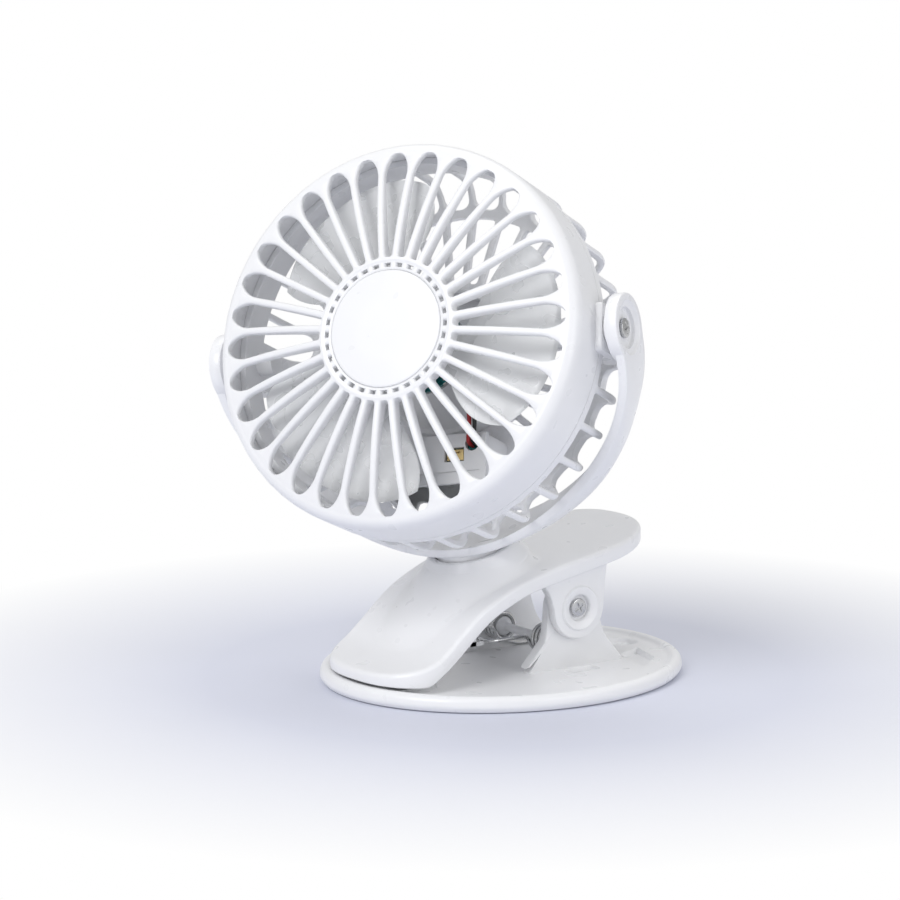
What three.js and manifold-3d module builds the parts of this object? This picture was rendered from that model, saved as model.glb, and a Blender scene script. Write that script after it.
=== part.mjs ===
// A small rechargeable clip fan: a round grilled head that tilts in a U yoke, the
// yoke swivelling on the upper jaw of a sprung clip, and the clip's oval base.
//
// Millimetres, +Z up. The origin is the middle of the base's underside, the clip's
// mouth opens towards -Y and the clip's hinge runs along X. Every joint is at rest.

import * as THREE from "three";
import { mergeVertices } from "three/addons/utils/BufferGeometryUtils.js";
import Module from "manifold-3d";

const wasm = await Module();
wasm.setup();

// ---------------------------------------------------------------- driving sizes

const gap = 0.3; // running and seating clearance between neighbours

// clip base
const baseLength = 109.6;
const baseWidth = 95.4;
const baseHeight = 4.6;
const baseFloor = 3.4;
const baseRimWidth = 3.2;

// clip hinge and its uprights
const hingeY = 11.9;
const hingeZ = 21.2;
const uprightInnerX = 14.5;
const uprightWall = 3.2;
const uprightRadius = 8.6;
const earWall = 3.0;
const earRadius = 9.0;
const hingeBossRadius = 6.4;
const hingeBossHeight = 0.8;
const hingeRecessDepth = 2.0;
const hingeBossReach = 4.0;

// clip jaw
const jawHalfWidth = 23.0;
const jawTipY = -52.5;
const jawTailY = 42.8;
const jawThickness = 4.2;
const jawPadDepth = 1.0;

// clip spring
const springY = 7.4;
const springZ = 11.2;
const springWire = 1.2;
const springCoilRadius = 3.75; // to the middle of the wire
const springCoilX = 10.9; // middle of each coil
const springTurns = 3;
const springPitch = 1.75;
const springBridgeY = -10.5;
const springBridgeZ = 12.0;
const springTailY = 24.5;
const springPinRadius = 2.8; // inside the coils
const springPinWaist = 1.2; // between them

// swivel mount of the yoke on the jaw
const mountY = -10.6;
const mountZ = 36.7;
const mountSlope = 16.5; // degrees that the swivel axis leans towards the jaw's tip
const swivelAngle = 31.0; // degrees that the yoke is turned in the photograph
const tiltAngle = 35.4; // degrees that the head looks up from the yoke
const tiltHeight = 62.6; // tilt axis above the mount
const footHeight = 1.8; // from the seat to the underside of the yoke's band
const seatRadius = 10.8; // flat round seat on the jaw, round the yoke's foot
const seatRimHeight = 1.7; // the seat's rim stands this far up beside the foot
const seatDepth = 8.8; // from that seat to the washer's seat under the jaw

// fan head and its pivots, from the fan axis outwards
const headRadius = 55.0;
const padProud = 1.8;
const padReach = headRadius + padProud;
const tiltBushLength = 1.8;

// yoke
const yokeWall = 2.6;
const yokeBossWall = 3.6; // at the round ends
const yokeInner = padReach + tiltBushLength + 2 * gap;
const yokeOuter = yokeInner + yokeBossWall;
const yokeDrop = 4.0; // straight part of each arm below the tilt axis
const yokeBottom = tiltHeight - footHeight; // outer face below the tilt axis
const yokeEndRadius = 9.6;
const yokeArmHalf = 8.4; // half of the band's width beside the ends
const yokeWaistHalf = 7.0;
const yokeFootHalf = 10.5;
const yokeFootRadius = 10.4;
const yokeShoulderSag = 2.6; // the band's edges curl in by this much half way down
const yokeFootSag = 1.1;
const yokeSlitWidth = 0.9;

// fan head, measured along the fan axis from the tilt axis
const headWall = 2.2;
const faceZ = 18.0; // plane through the slots' outer tips
const domeRise = 4.7; // the hub stands this far in front of it
const bandRearZ = 1.5; // rear edge of the front grille's band
const windowFrontZ = -1.6;
const shoulderZ = -14.5;
const rearZ = -24.0;
const rearFlatRadius = 46.5;
const slotCount = 32;
const slotTipRadius = 51.7;
const slotRootRadius = 20.3;
const slotWideRadius = 45.5;
const ribWidth = 2.0;
const hubHoleRadius = 18.1;
const hubHoleSize = 1.5;
const hubCapRadius = 16.4;
const sideRibWidth = 2.1;
const shoulderRingRadius = 47.2;
const backWindowOuter = 44.2;
const backWindowInner = 24.5;

// tilt pivots on the head
const padHalfHeight = 6.9;
const padRearZ = -12.0;
const padFrontZ = 4.9;
const tiltBushRadius = 4.9;
const tiltRecessRadius = 5.4;
const tiltRecessDepth = 2.0;
const tiltDishRadius = 7.4;

// fan and motor
const bladeCount = 3;
const bladeTipRadius = 46.5;
const bladeHubRadius = 15.2;
const bladeHubFrontZ = 15.5;
const bladeHubRearZ = 8.7;
const bladeMidZ = 9.7;
const bladePitch = 4.6;
const bladeThickness = 1.3;
const shaftRadius = 1.5;
const motorTubeRadius = 4.0;
const motorTubeBore = 2.7;
const motorBoardRadius = 12.8;
const motorSeatZ = -2.9;
const stackFrontZ = 9.2;
const stackRearZ = 2.2;
const poleCount = 6;
const poleTipRadius = 11.4;
const coilThickness = 1.6;
const bellRadius = 13.9;
const motorDishRadius = 21.5;

// control box, battery and rear cover
const boxHalfWidth = 17.0;
const boxTopY = -23.6;
const boxBottomY = -37.6;
const boxFrontZ = -7.5;
const boxWall = 1.6;
const boardThickness = 1.2;
const socketX = 7.3;
const socketY = -29.4;
const socketWidth = 6.0;
const socketHeight = 4.0;
const buttonX = -7.3;
const buttonY = -30.0;
const buttonRadius = 3.6;
const buttonTravel = 0.8;
const lensY = -33.4;
const coverRadius = 21.6;
const coverRearZ = -32.2;
const coverWall = 1.6;
const coverScrewRadius = 18.2;
const leadRadius = 0.6;

// screws
const screwShankRadius = 1.4;
const screwHeadRadius = 3.3;
const screwHeadHeight = 1.5;
const crossWidth = 0.7;

// ---------------------------------------------------------------- materials

function plastic(name, color, roughness, metalness = 0) {
  return new THREE.MeshStandardMaterial({ name, color, roughness, metalness });
}

const white = plastic("white_plastic", 0xf3f4f6, 0.32);
const satin = plastic("satin_white_plastic", 0xeeeff1, 0.45);
const frosted = plastic("frosted_blade_plastic", 0xe4e7ea, 0.3);
const rubber = plastic("grip_rubber", 0xd9dbdd, 0.8);
const steel = plastic("zinc_steel", 0xb9bcc0, 0.3, 1);
const spring = plastic("spring_steel", 0xc6c9cc, 0.2, 1);
const copper = plastic("coil_copper", 0xb8683a, 0.35, 1);
const iron = plastic("stack_iron", 0x3d4247, 0.5, 1);
const board = plastic("board_green", 0x1d4f50, 0.5);
const dark = plastic("dark_plastic", 0x1c1d1f, 0.5);
const gold = plastic("socket_brass", 0xc9b37a, 0.3, 1);
const redWire = plastic("red_wire", 0xb3272b, 0.4);
const blackWire = plastic("black_wire", 0x1a1a1c, 0.4);
const foil = plastic("cell_foil", 0x9fa5aa, 0.35, 1);

// ---------------------------------------------------------------- solid helpers

function tidied(geometry) {
  const bare = geometry.index ? geometry.toNonIndexed() : geometry.clone();
  bare.deleteAttribute("normal");
  bare.deleteAttribute("uv");
  const merged = mergeVertices(bare, 1e-4);
  const index = merged.index.array;
  const kept = [];
  for (let i = 0; i < index.length; i += 3) {
    const [a, b, c] = [index[i], index[i + 1], index[i + 2]];
    if (a !== b && b !== c && c !== a) kept.push(a, b, c);
  }
  merged.setIndex(kept);
  return merged;
}

function volumeOf(geometry) {
  const p = geometry.attributes.position;
  const index = geometry.index.array;
  const [a, b, c] = [new THREE.Vector3(), new THREE.Vector3(), new THREE.Vector3()];
  let sum = 0;
  for (let i = 0; i < index.length; i += 3) {
    a.fromBufferAttribute(p, index[i]);
    b.fromBufferAttribute(p, index[i + 1]);
    c.fromBufferAttribute(p, index[i + 2]);
    sum += a.dot(b.cross(c));
  }
  return sum / 6;
}

// A closed geometry as a solid, with its faces turned outwards.
function solid(geometry) {
  const g = tidied(geometry);
  const triVerts = Uint32Array.from(g.index.array);
  if (volumeOf(g) < 0) {
    for (let i = 0; i < triVerts.length; i += 3) {
      [triVerts[i], triVerts[i + 1]] = [triVerts[i + 1], triVerts[i]];
    }
  }
  const vertProperties = Float32Array.from(g.attributes.position.array);
  return new wasm.Manifold(new wasm.Mesh({ numProp: 3, vertProperties, triVerts }));
}

function geometryOf(body) {
  const mesh = body.getMesh();
  const geometry = new THREE.BufferGeometry();
  const positions = new Float32Array(mesh.vertProperties);
  geometry.setAttribute("position", new THREE.BufferAttribute(positions, 3));
  geometry.setIndex(Array.from(mesh.triVerts));
  return geometry;
}

function joined(first, ...others) {
  return others.reduce((sum, other) => sum.add(other), first);
}

function cut(first, ...others) {
  return others.reduce((sum, other) => sum.subtract(other), first);
}

function moved(geometry, x, y, z) {
  return geometry.translate(x, y, z);
}

function box(x0, x1, y0, y1, z0, z1) {
  const geometry = new THREE.BoxGeometry(x1 - x0, y1 - y0, z1 - z0);
  return solid(moved(geometry, (x0 + x1) / 2, (y0 + y1) / 2, (z0 + z1) / 2));
}

// A rod along Z.
function rod(radius, z0, z1, sides = 24, x = 0, y = 0) {
  const geometry = new THREE.CylinderGeometry(radius, radius, z1 - z0, sides);
  geometry.rotateX(Math.PI / 2);
  return solid(moved(geometry, x, y, (z0 + z1) / 2));
}

// A rod along X.
function rodX(radius, x0, x1, y, z, sides = 24) {
  const geometry = new THREE.CylinderGeometry(radius, radius, x1 - x0, sides);
  geometry.rotateZ(Math.PI / 2);
  return solid(moved(geometry, (x0 + x1) / 2, y, z));
}

// A ring or cup turned about Z from [radius, z] points.
function turned(points, sides = 64) {
  const profile = points.map(([r, z]) => new THREE.Vector2(r, z));
  if (profile[0].x > 0) profile.push(profile[0].clone());
  const geometry = new THREE.LatheGeometry(profile, sides);
  geometry.rotateX(Math.PI / 2);
  return solid(geometry);
}

function ring(inner, outer, z0, z1, sides = 24) {
  return turned([[inner, z0], [outer, z0], [outer, z1], [inner, z1]], sides);
}

// An outline in X and Y pushed along Z.
function prism(points, z0, z1) {
  const shape = new THREE.Shape(points.map(([x, y]) => new THREE.Vector2(x, y)));
  const geometry = new THREE.ExtrudeGeometry(shape, { depth: z1 - z0, bevelEnabled: false });
  return solid(moved(geometry, 0, 0, z0));
}

// An outline in Y and Z pushed along X.
function prismX(points, x0, x1) {
  const shape = new THREE.Shape(points.map(([y, z]) => new THREE.Vector2(y, z)));
  const geometry = new THREE.ExtrudeGeometry(shape, { depth: x1 - x0, bevelEnabled: false });
  geometry.rotateZ(Math.PI / 2);
  geometry.rotateY(Math.PI / 2);
  return solid(moved(geometry, x0, 0, 0));
}

function arc(cx, cy, radius, from, to, steps) {
  const points = [];
  for (let i = 0; i <= steps; i++) {
    const a = THREE.MathUtils.degToRad(from + ((to - from) * i) / steps);
    points.push([cx + radius * Math.cos(a), cy + radius * Math.sin(a)]);
  }
  return points;
}

// A round wire or lead through the points of a path, with flat ends.
function wire(path, radius, sides) {
  const rings = [];
  let side = new THREE.Vector3(1, 0, 0);
  path.forEach((p, i) => {
    const before = path[Math.max(i - 1, 0)];
    const after = path[Math.min(i + 1, path.length - 1)];
    const ahead = after.clone().sub(before).normalize();
    if (Math.abs(side.dot(ahead)) > 0.95) side = new THREE.Vector3(0, 0, 1);
    side = side.sub(ahead.clone().multiplyScalar(side.dot(ahead))).normalize();
    const up = ahead.clone().cross(side);
    for (let k = 0; k < sides; k++) {
      const a = (2 * Math.PI * k) / sides;
      const out = side.clone().multiplyScalar(Math.cos(a)).addScaledVector(up, Math.sin(a));
      rings.push(p.clone().addScaledVector(out, radius));
    }
  });
  const index = [];
  for (let i = 0; i + 1 < path.length; i++) {
    for (let k = 0; k < sides; k++) {
      const [a, b] = [i * sides + k, i * sides + ((k + 1) % sides)];
      index.push(a, b, a + sides, b, b + sides, a + sides);
    }
  }
  const last = (path.length - 1) * sides;
  for (let k = 1; k + 1 < sides; k++) {
    index.push(0, k + 1, k, last, last + k, last + k + 1);
  }
  const geometry = new THREE.BufferGeometry().setFromPoints(rings);
  geometry.setIndex(index);
  return solid(geometry);
}

// ---------------------------------------------------------------- assembly tree

const fanAssembly = new THREE.Group();
const mount = new THREE.Group();
const yokeGroup = new THREE.Group();
const tiltGroup = new THREE.Group();
const head = new THREE.Group(); // +Z looks forward along the fan axis, +X the tilt axis

mount.position.set(0, mountY, mountZ);
mount.rotation.x = THREE.MathUtils.degToRad(mountSlope);
yokeGroup.rotation.z = THREE.MathUtils.degToRad(swivelAngle);
tiltGroup.position.z = tiltHeight;
tiltGroup.rotation.x = -THREE.MathUtils.degToRad(tiltAngle);
head.rotation.x = Math.PI / 2;
fanAssembly.add(mount);
mount.add(yokeGroup);
yokeGroup.add(tiltGroup);
tiltGroup.add(head);

function place(parent, name, body, material) {
  const mesh = new THREE.Mesh(geometryOf(body), material);
  mesh.name = name;
  parent.add(mesh);
}

// A cross-head screw along Z: the head's outer face at zHead, its tip at zTip.
function screw(zHead, zTip) {
  const up = Math.sign(zHead - zTip);
  const under = zHead - up * screwHeadHeight;
  const profile = [[0, zTip], [screwShankRadius, zTip], [screwShankRadius, under]];
  profile.push([screwHeadRadius, under], [screwHeadRadius - 0.5, zHead], [0, zHead]);
  const body = turned(profile, 12);
  const deep = zHead - up * 0.8;
  const [low, high] = [Math.min(deep, zHead + up), Math.max(deep, zHead + up)];
  const reach = screwHeadRadius * 0.55;
  const half = crossWidth / 2;
  return cut(body, box(-reach, reach, -half, half, low, high), box(-half, half, -reach, reach, low, high));
}

function turnToX(body) {
  return body.rotate([0, 90, 0]);
}

// ---------------------------------------------------------------- clip base

const uprightOuterX = uprightInnerX + uprightWall;
const earInnerX = uprightOuterX + gap;
const earOuterX = earInnerX + earWall;
const pinSeatX = uprightOuterX - 1.5;
const basePadY = [jawTipY + 4.5, jawTipY + 19];
const padHalfWidth = 15.0;
const padRecess = 0.8;

function uprightOutline() {
  const left = [[hingeY - 18.0, baseFloor - 0.6], [hingeY - 18.0, 4.2], [hingeY - 13.6, 6.0]];
  left.push([hingeY - 10.8, 9.2], [hingeY - 9.4, 13.6], [hingeY - 8.8, 18.6]);
  const top = arc(hingeY, hingeZ, uprightRadius, 180, 0, 8);
  const right = [[hingeY + 10.0, 17.0], [hingeY + 11.6, 12.4], [hingeY + 14.2, 8.0]];
  right.push([hingeY + 18.6, 5.4], [hingeY + 18.6, baseFloor - 0.6]);
  return [...left, ...top, ...right];
}

function basePlate() {
  const a = baseLength / 2;
  const profile = [[0, 0], [a - 1.2, 0], [a, 1.6], [a - 0.4, 3.6]];
  profile.push([a - 1.6, baseHeight], [a - baseRimWidth, baseHeight]);
  profile.push([a - baseRimWidth - 1.0, baseFloor], [0, baseFloor]);
  let body = turned(profile, 44).scale([baseWidth / baseLength, 1, 1]);
  for (const side of [-1, 1]) {
    const [x0, x1] = [side * uprightInnerX, side * uprightOuterX].sort((p, q) => p - q);
    const bossEnd = side * (uprightInnerX - hingeBossReach);
    const bossX = [bossEnd, side * (uprightInnerX + 1)].sort((p, q) => p - q);
    body = joined(body, prismX(uprightOutline(), x0, x1), rodX(3.6, ...bossX, hingeY, hingeZ, 16));
    const pinX = [side * (uprightInnerX - 1), side * pinSeatX].sort((p, q) => p - q);
    body = cut(body, rodX(springPinRadius + gap, ...pinX, springY, springZ, 16));
    const pocket = [side * (uprightOuterX + 1.4), side * (uprightOuterX + 6.2)].sort((p, q) => p - q);
    body = cut(body, box(...pocket, hingeY - 4.4, hingeY + 5.4, 1.4, 6));
    body = cut(body, prism(footHollow(side), 1.9, 6));
  }
  const bore = rodX(screwShankRadius + gap, -uprightOuterX - 1, uprightOuterX + 1, hingeY, hingeZ, 16);
  const padBed = box(-padHalfWidth - gap, padHalfWidth + gap, ...basePadY, baseFloor - padRecess, 6);
  const thumbHollow = rod(4.6, 1.9, 6, 16, 0, baseLength / 2 - 10.5);
  return cut(body, bore, padBed, thumbHollow);
}

// The shallow three-cornered hollow behind each upright.
function footHollow(side) {
  const y = hingeY + 17.5;
  return [[side * 9, y + 13.5], [side * 13.5, y + 3.5], [side * 29.5, y - 0.5], [side * 22, y + 9.5]];
}

place(fanAssembly, "base_plate", basePlate(), white);
const basePad = box(-padHalfWidth, padHalfWidth, basePadY[0] + gap, basePadY[1] - gap,
  baseFloor - padRecess + gap, baseFloor + 0.7);
place(fanAssembly, "base_grip_pad", basePad, rubber);

// The pin fills the two coils and is thin between them.
function springPin() {
  const half = pinSeatX - gap;
  const waist = springCoilX - (springTurns * springPitch) / 2 - springWire;
  const ends = [[springPinRadius, waist + 1.6], [springPinRadius, half], [0, half]];
  const profile = [[0, -half], ...ends.slice(0, 2).reverse().map(([r, x]) => [r, -x])];
  profile.push([springPinWaist, -waist], [springPinWaist, waist], ...ends);
  return turnToX(turned(profile, 16)).translate([0, springY, springZ]);
}

place(fanAssembly, "spring_pin", springPin(), white);

// ---------------------------------------------------------------- clip jaw

// The upper line of the lever, from its tip to its tail, as [y, z].
function jawTopPoints() {
  const spine = [[jawTipY, 8.4], [jawTipY + 7, 9.9], [-39.5, 12.1], [-34.5, 15.8], [-29, 20.6]];
  spine.push([-23.5, 24.9], [-17, 28.4], [-9, 31.6], [1, 33.9], [12, 36.0], [24, 38.3]);
  spine.push([34, 40.6], [jawTailY, 42.8]);
  const curve = new THREE.SplineCurve(spine.map(([y, z]) => new THREE.Vector2(y, z)));
  return curve.getPoints(18).map((p) => [p.x, p.y]);
}

function jawBottomPoints(top) {
  const points = top.map(([y, z], i) => {
    const before = top[Math.max(i - 1, 0)];
    const after = top[Math.min(i + 1, top.length - 1)];
    const length = Math.hypot(after[0] - before[0], after[1] - before[1]);
    const fall = jawThickness / length;
    return [y + (after[1] - before[1]) * fall, z - (after[0] - before[0]) * fall];
  });
  return points.filter(([y]) => y < jawTailY && y > jawTipY + 16);
}

function jawPlan() {
  const w = jawHalfWidth;
  const half = [];
  for (let i = 0; i <= 6; i++) {
    const a = (Math.PI / 2) * (i / 6);
    half.push([w * Math.sin(a) ** 0.8, jawTipY + 17 - 17 * Math.cos(a) ** 0.9]);
  }
  for (let i = 0; i <= 6; i++) {
    const a = (Math.PI / 2) * (1 - i / 6);
    half.push([w * Math.sin(a) ** 0.85, jawTailY - 21 + 21 * Math.cos(a) ** 0.9]);
  }
  const mirrored = half.slice(1, -1).reverse().map(([x, y]) => [-x, y]);
  return [...half, ...mirrored];
}

const stubRadius = 4.0;
const hookHalf = 3.0;
const jawTipFloor = 5.3;

function earOutline() {
  const round = arc(hingeY, hingeZ, earRadius, -180, 0, 10);
  return [[hingeY - 13.5, 29.4], [hingeY - 10.4, 25.6], ...round, [hingeY + 9.6, 29], [hingeY + 10.4, 34.8]];
}

function jawLever() {
  const top = jawTopPoints();
  const bottom = jawBottomPoints(top).reverse();
  const tipCurve = [[jawTipY + 14.0, jawTipFloor + 2.2], [jawTipY + 12.2, jawTipFloor + 0.7]];
  const side = [...top, ...bottom, ...tipCurve, [jawTipY + 10.5, jawTipFloor], [jawTipY, jawTipFloor]];
  const plate = prismX(side, -jawHalfWidth - 1, jawHalfWidth + 1);
  let body = plate.intersect(prism(jawPlan(), 0, 60));
  body = joined(body, mountSeat(bottom));
  for (const s of [-1, 1]) {
    const [x0, x1] = [s * earInnerX, s * earOuterX].sort((p, q) => p - q);
    const ringX = [s * (earOuterX - 1), s * (earOuterX + hingeBossHeight)].sort((p, q) => p - q);
    body = joined(body, prismX(earOutline(), x0, x1), rodX(hingeBossRadius, ...ringX, hingeY, hingeZ));
    const recessX = [s * (earOuterX + hingeBossHeight - hingeRecessDepth), s * (earOuterX + 3)];
    body = cut(body, rodX(screwHeadRadius + 0.6, ...recessX.sort((p, q) => p - q), hingeY, hingeZ));
  }
  const bore = rodX(screwShankRadius + gap + 0.1, -earOuterX - 2, earOuterX + 2, hingeY, hingeZ, 16);
  const padBed = box(-padHalfWidth - gap, padHalfWidth + gap, basePadY[0] + 0.5, jawTipY + 10.5,
    0, jawTipFloor + jawPadDepth);
  return cut(joined(cut(body, bore, padBed), springHook()), mountBore());
}

// The flat round seat that the yoke stands on, square to the swivel axis.
function toMountFrame(body) {
  return body.rotate([mountSlope, 0, 0]).translate([0, mountY, mountZ]);
}

// It flares into the jaw's upper face and stays above the lower face.
function mountSeat(bottom) {
  const rim = [[seatRadius, 0], [seatRadius, seatRimHeight], [seatRadius + 1.7, seatRimHeight]];
  const flare = [[0, 0], ...rim, [15.6, -2.2], [18.6, -6.2], [21.5, -14], [0, -14]];
  const body = toMountFrame(turned(flare, 28));
  const above = prismX([...bottom, [jawTipY, 60], [jawTailY, 60]], -jawHalfWidth, jawHalfWidth);
  return body.intersect(above).intersect(prism(jawPlan(), 0, 60));
}

function mountBore() {
  return toMountFrame(joined(rod(stubRadius + gap, -16, 5, 16), rod(7.6, -16, -seatDepth, 20)));
}

// The arm under the jaw whose ledge the spring's bridge pulls down on.
function springHook() {
  const r = springWire / 2 + gap;
  const [y, z] = [springBridgeY, springBridgeZ];
  const outline = [[y - 5.0, z + 13.8], [y - 4.4, z + 7.6], [y - r, z + 2.6], [y - r, z - r]];
  outline.push([y + 1.9, z - r], [y + 1.9, z - r - 1.3], [y - 3.4, z - r - 1.3], [y - 10.5, z + 10.6]);
  return prismX(outline, -hookHalf, hookHalf);
}

place(fanAssembly, "jaw_lever", jawLever(), white);
const jawPad = box(-padHalfWidth, padHalfWidth, basePadY[0] + 0.5 + gap, jawTipY + 10.5 - gap,
  jawTipFloor - 0.6, jawTipFloor + jawPadDepth - gap);
place(fanAssembly, "jaw_grip_pad", jawPad, rubber);

for (const [name, s] of [["hinge_screw_right", 1], ["hinge_screw_left", -1]]) {
  const headX = earOuterX + hingeBossHeight - hingeRecessDepth + gap + screwHeadHeight;
  const tipX = uprightInnerX - hingeBossReach + 0.5;
  const body = turnToX(screw(s * headX, s * tipX)).translate([0, hingeY, hingeZ]);
  place(fanAssembly, name, body, steel);
}

// ---------------------------------------------------------------- clip spring

// The double torsion spring: tail, coil, leg, bridge, leg, coil, tail, one wire.
// Seen along X, its angles run from +Y towards +Z and each coil is wound downwards,
// from its tail at the outer side to its leg at the inner side.
function springPath() {
  const tailZ = baseFloor + springWire / 2 + gap;
  const outerX = springCoilX + (springTurns * springPitch) / 2;
  const steps = 8 * springTurns + 2;
  const arrive = -86;
  const leave = -168 - 360 * springTurns;
  const coil = [];
  for (let i = 0; i <= steps; i++) {
    const a = THREE.MathUtils.degToRad(arrive + ((leave - arrive) * i) / steps);
    const x = outerX - (springPitch * springTurns * i) / steps;
    coil.push([x, springY + springCoilRadius * Math.cos(a), springZ + springCoilRadius * Math.sin(a)]);
  }
  const tail = [[outerX, springTailY, tailZ], [outerX, springY + 9, tailZ]];
  tail.push([outerX, springY + 3, tailZ + 1.6]);
  const legX = outerX - springPitch * springTurns;
  const [y, z] = [springBridgeY, springBridgeZ];
  const legY = springY - springCoilRadius;
  const leg = [[legX, legY - 0.5, z - 0.2], [legX, legY - 1.6, z]];
  const corner = [[legX, y + 1.6, z], [legX - 0.5, y + 0.5, z], [legX - 1.6, y, z]];
  const right = [...tail, ...coil, ...leg, ...corner].map(([px, py, pz]) => new THREE.Vector3(px, py, pz));
  const left = right.map((p) => new THREE.Vector3(-p.x, p.y, p.z)).reverse();
  return [...right, ...left];
}

// The least distance between two stretches of the wire that lie apart along it.
function leastGapToItself(path, radius) {
  let least = Infinity;
  const along = [0];
  for (let i = 1; i < path.length; i++) along.push(along[i - 1] + path[i].distanceTo(path[i - 1]));
  for (let i = 0; i < path.length; i++) {
    for (let j = i + 1; j < path.length; j++) {
      if (along[j] - along[i] < 8 * radius) continue;
      least = Math.min(least, path[i].distanceTo(path[j]) - 2 * radius);
    }
  }
  return least;
}

const springLine = springPath();
console.log("spring's least gap to itself, mm:", leastGapToItself(springLine, springWire / 2).toFixed(2));
place(fanAssembly, "clip_spring", wire(springLine, springWire / 2, 5), spring);

// ---------------------------------------------------------------- yoke

const swivelScrewTip = 3.0;

// A point of the U band: angle from the right arm (0) to the left (180), y across it,
// depth inwards from its outer face. The band's edges curl in towards the head.
function yokePoint(degrees, y, depth) {
  const a = THREE.MathUtils.degToRad(degrees);
  const fall = yokeBottom - yokeDrop;
  const normal = new THREE.Vector2(Math.cos(a) / yokeOuter, -Math.sin(a) / fall).normalize();
  const sag = yokeShoulderSag * Math.sin(2 * a) ** 2 + yokeFootSag * Math.sin(a) ** 4;
  const inwards = depth + sag * (y / yokeHalf(degrees)) ** 2;
  const x = yokeOuter * Math.cos(a) - normal.x * inwards;
  return new THREE.Vector3(x, y, -yokeDrop - fall * Math.sin(a) - normal.y * inwards);
}

function yokeHalf(degrees) {
  const lean = Math.sin(THREE.MathUtils.degToRad(degrees));
  const arm = (yokeArmHalf - yokeWaistHalf) * (1 - lean) ** 3;
  return yokeWaistHalf + arm + (yokeFootHalf - yokeWaistHalf) * lean ** 6;
}

// A closed strip of the band between two angles and two depths.
function yokeStrip(from, to, steps, near, far, halfAt) {
  const columns = 4;
  const stride = 2 * (columns + 1);
  const points = [];
  for (let i = 0; i <= steps; i++) {
    const degrees = from + ((to - from) * i) / steps;
    for (let j = 0; j < stride; j++) {
      const across = j <= columns ? (2 * j) / columns - 1 : 1 - (2 * (j - columns - 1)) / columns;
      points.push(yokePoint(degrees, across * halfAt(degrees), j <= columns ? near : far));
    }
  }
  return shellOf(points, stride, columns);
}

// Rings of points, out along one face and back along the other, closed at both ends.
function shellOf(points, stride, columns) {
  const index = [];
  const quad = (a, b, c, d) => index.push(a, b, c, a, c, d);
  for (let i = 0; i + stride < points.length; i += stride) {
    for (let j = 0; j < stride; j++) {
      const k = (j + 1) % stride;
      quad(i + j, i + k, i + stride + k, i + stride + j);
    }
  }
  const last = points.length - stride;
  for (let j = 0; j < columns; j++) {
    const [a, b] = [stride - 1 - j, stride - 2 - j];
    quad(j, a, b, j + 1);
    quad(last + j, last + j + 1, last + b, last + a);
  }
  const geometry = new THREE.BufferGeometry().setFromPoints(points);
  geometry.setIndex(index);
  return solid(geometry);
}

function yokeBody() {
  let body = yokeStrip(0, 180, 18, 0, yokeWall, yokeHalf);
  const footFloor = gap - tiltHeight;
  body = joined(body, rod(yokeFootRadius, footFloor, -yokeBottom + 1.6, 24));
  body = joined(body, rod(stubRadius, -tiltHeight - seatDepth, -yokeBottom + 1, 16));
  for (const s of [-1, 1]) {
    const [x0, x1] = [s * yokeInner, s * yokeOuter].sort((p, q) => p - q);
    const arm = [s * (yokeOuter - yokeWall), s * yokeOuter].sort((p, q) => p - q);
    body = joined(body, rodX(yokeEndRadius, x0, x1, 0, 0, 24));
    body = joined(body, box(...arm, -yokeArmHalf, yokeArmHalf, -yokeDrop - 0.2, 0));
    const dish = [s * (yokeOuter - 0.6), s * (yokeOuter + 2)].sort((p, q) => p - q);
    const recess = [s * (yokeOuter - tiltRecessDepth), s * (yokeOuter + 2)].sort((p, q) => p - q);
    body = cut(body, rodX(tiltDishRadius, ...dish, 0, 0), rodX(tiltRecessRadius, ...recess, 0, 0));
    const middle = s > 0 ? 46 : 134;
    const slit = yokeStrip(middle - 8, middle + 8, 2, yokeWall - 0.8, yokeWall + 1, () => yokeSlitWidth / 2);
    body = cut(body, slit);
  }
  const bore = rodX(screwShankRadius + gap, -yokeOuter - 2, yokeOuter + 2, 0, 0, 12);
  const screwBore = rod(screwShankRadius + gap, footFloor - 12, swivelScrewTip - tiltHeight + 0.4, 12);
  return cut(body, bore, screwBore);
}

const yokeOrigin = new THREE.Group();
yokeOrigin.position.z = tiltHeight;
yokeGroup.add(yokeOrigin);
place(yokeOrigin, "yoke", yokeBody(), white);

const washerZ = -seatDepth - gap;
const swivelWasher = ring(screwShankRadius + gap, 7.0, washerZ - 1.0, washerZ, 16);
place(yokeGroup, "swivel_washer", swivelWasher, steel);
place(yokeGroup, "swivel_screw", screw(washerZ - 1.0 - gap - screwHeadHeight, swivelScrewTip), steel);

// ---------------------------------------------------------------- grilles

function domeZ(r) {
  const t = Math.max(0, r - hubHoleRadius) / (slotTipRadius - hubHoleRadius);
  return faceZ + domeRise * (1 - t * t);
}

// One long teardrop slot from the hub to the rim, along +X.
function slotOutline() {
  const halfAt = (r) => (Math.PI * r) / slotCount - ribWidth / 2;
  const tip = [];
  const wide = halfAt(slotWideRadius);
  for (let i = 0; i <= 2; i++) {
    const a = (Math.PI / 2) * (i / 2);
    tip.push([slotWideRadius + (slotTipRadius - slotWideRadius) * Math.sin(a), wide * Math.cos(a)]);
  }
  const half = [[slotRootRadius, halfAt(slotRootRadius)], ...tip];
  const lower = half.slice(0, -1).reverse().map(([x, y]) => [x, -y]);
  return [...half, ...lower];
}

function around(count, skip, make) {
  const bodies = [];
  for (let i = 0; i < count; i++) {
    if (!skip(i)) bodies.push(make((360 * i) / count));
  }
  return bodies;
}

const never = () => false;
const capBed = 1.5;

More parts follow.
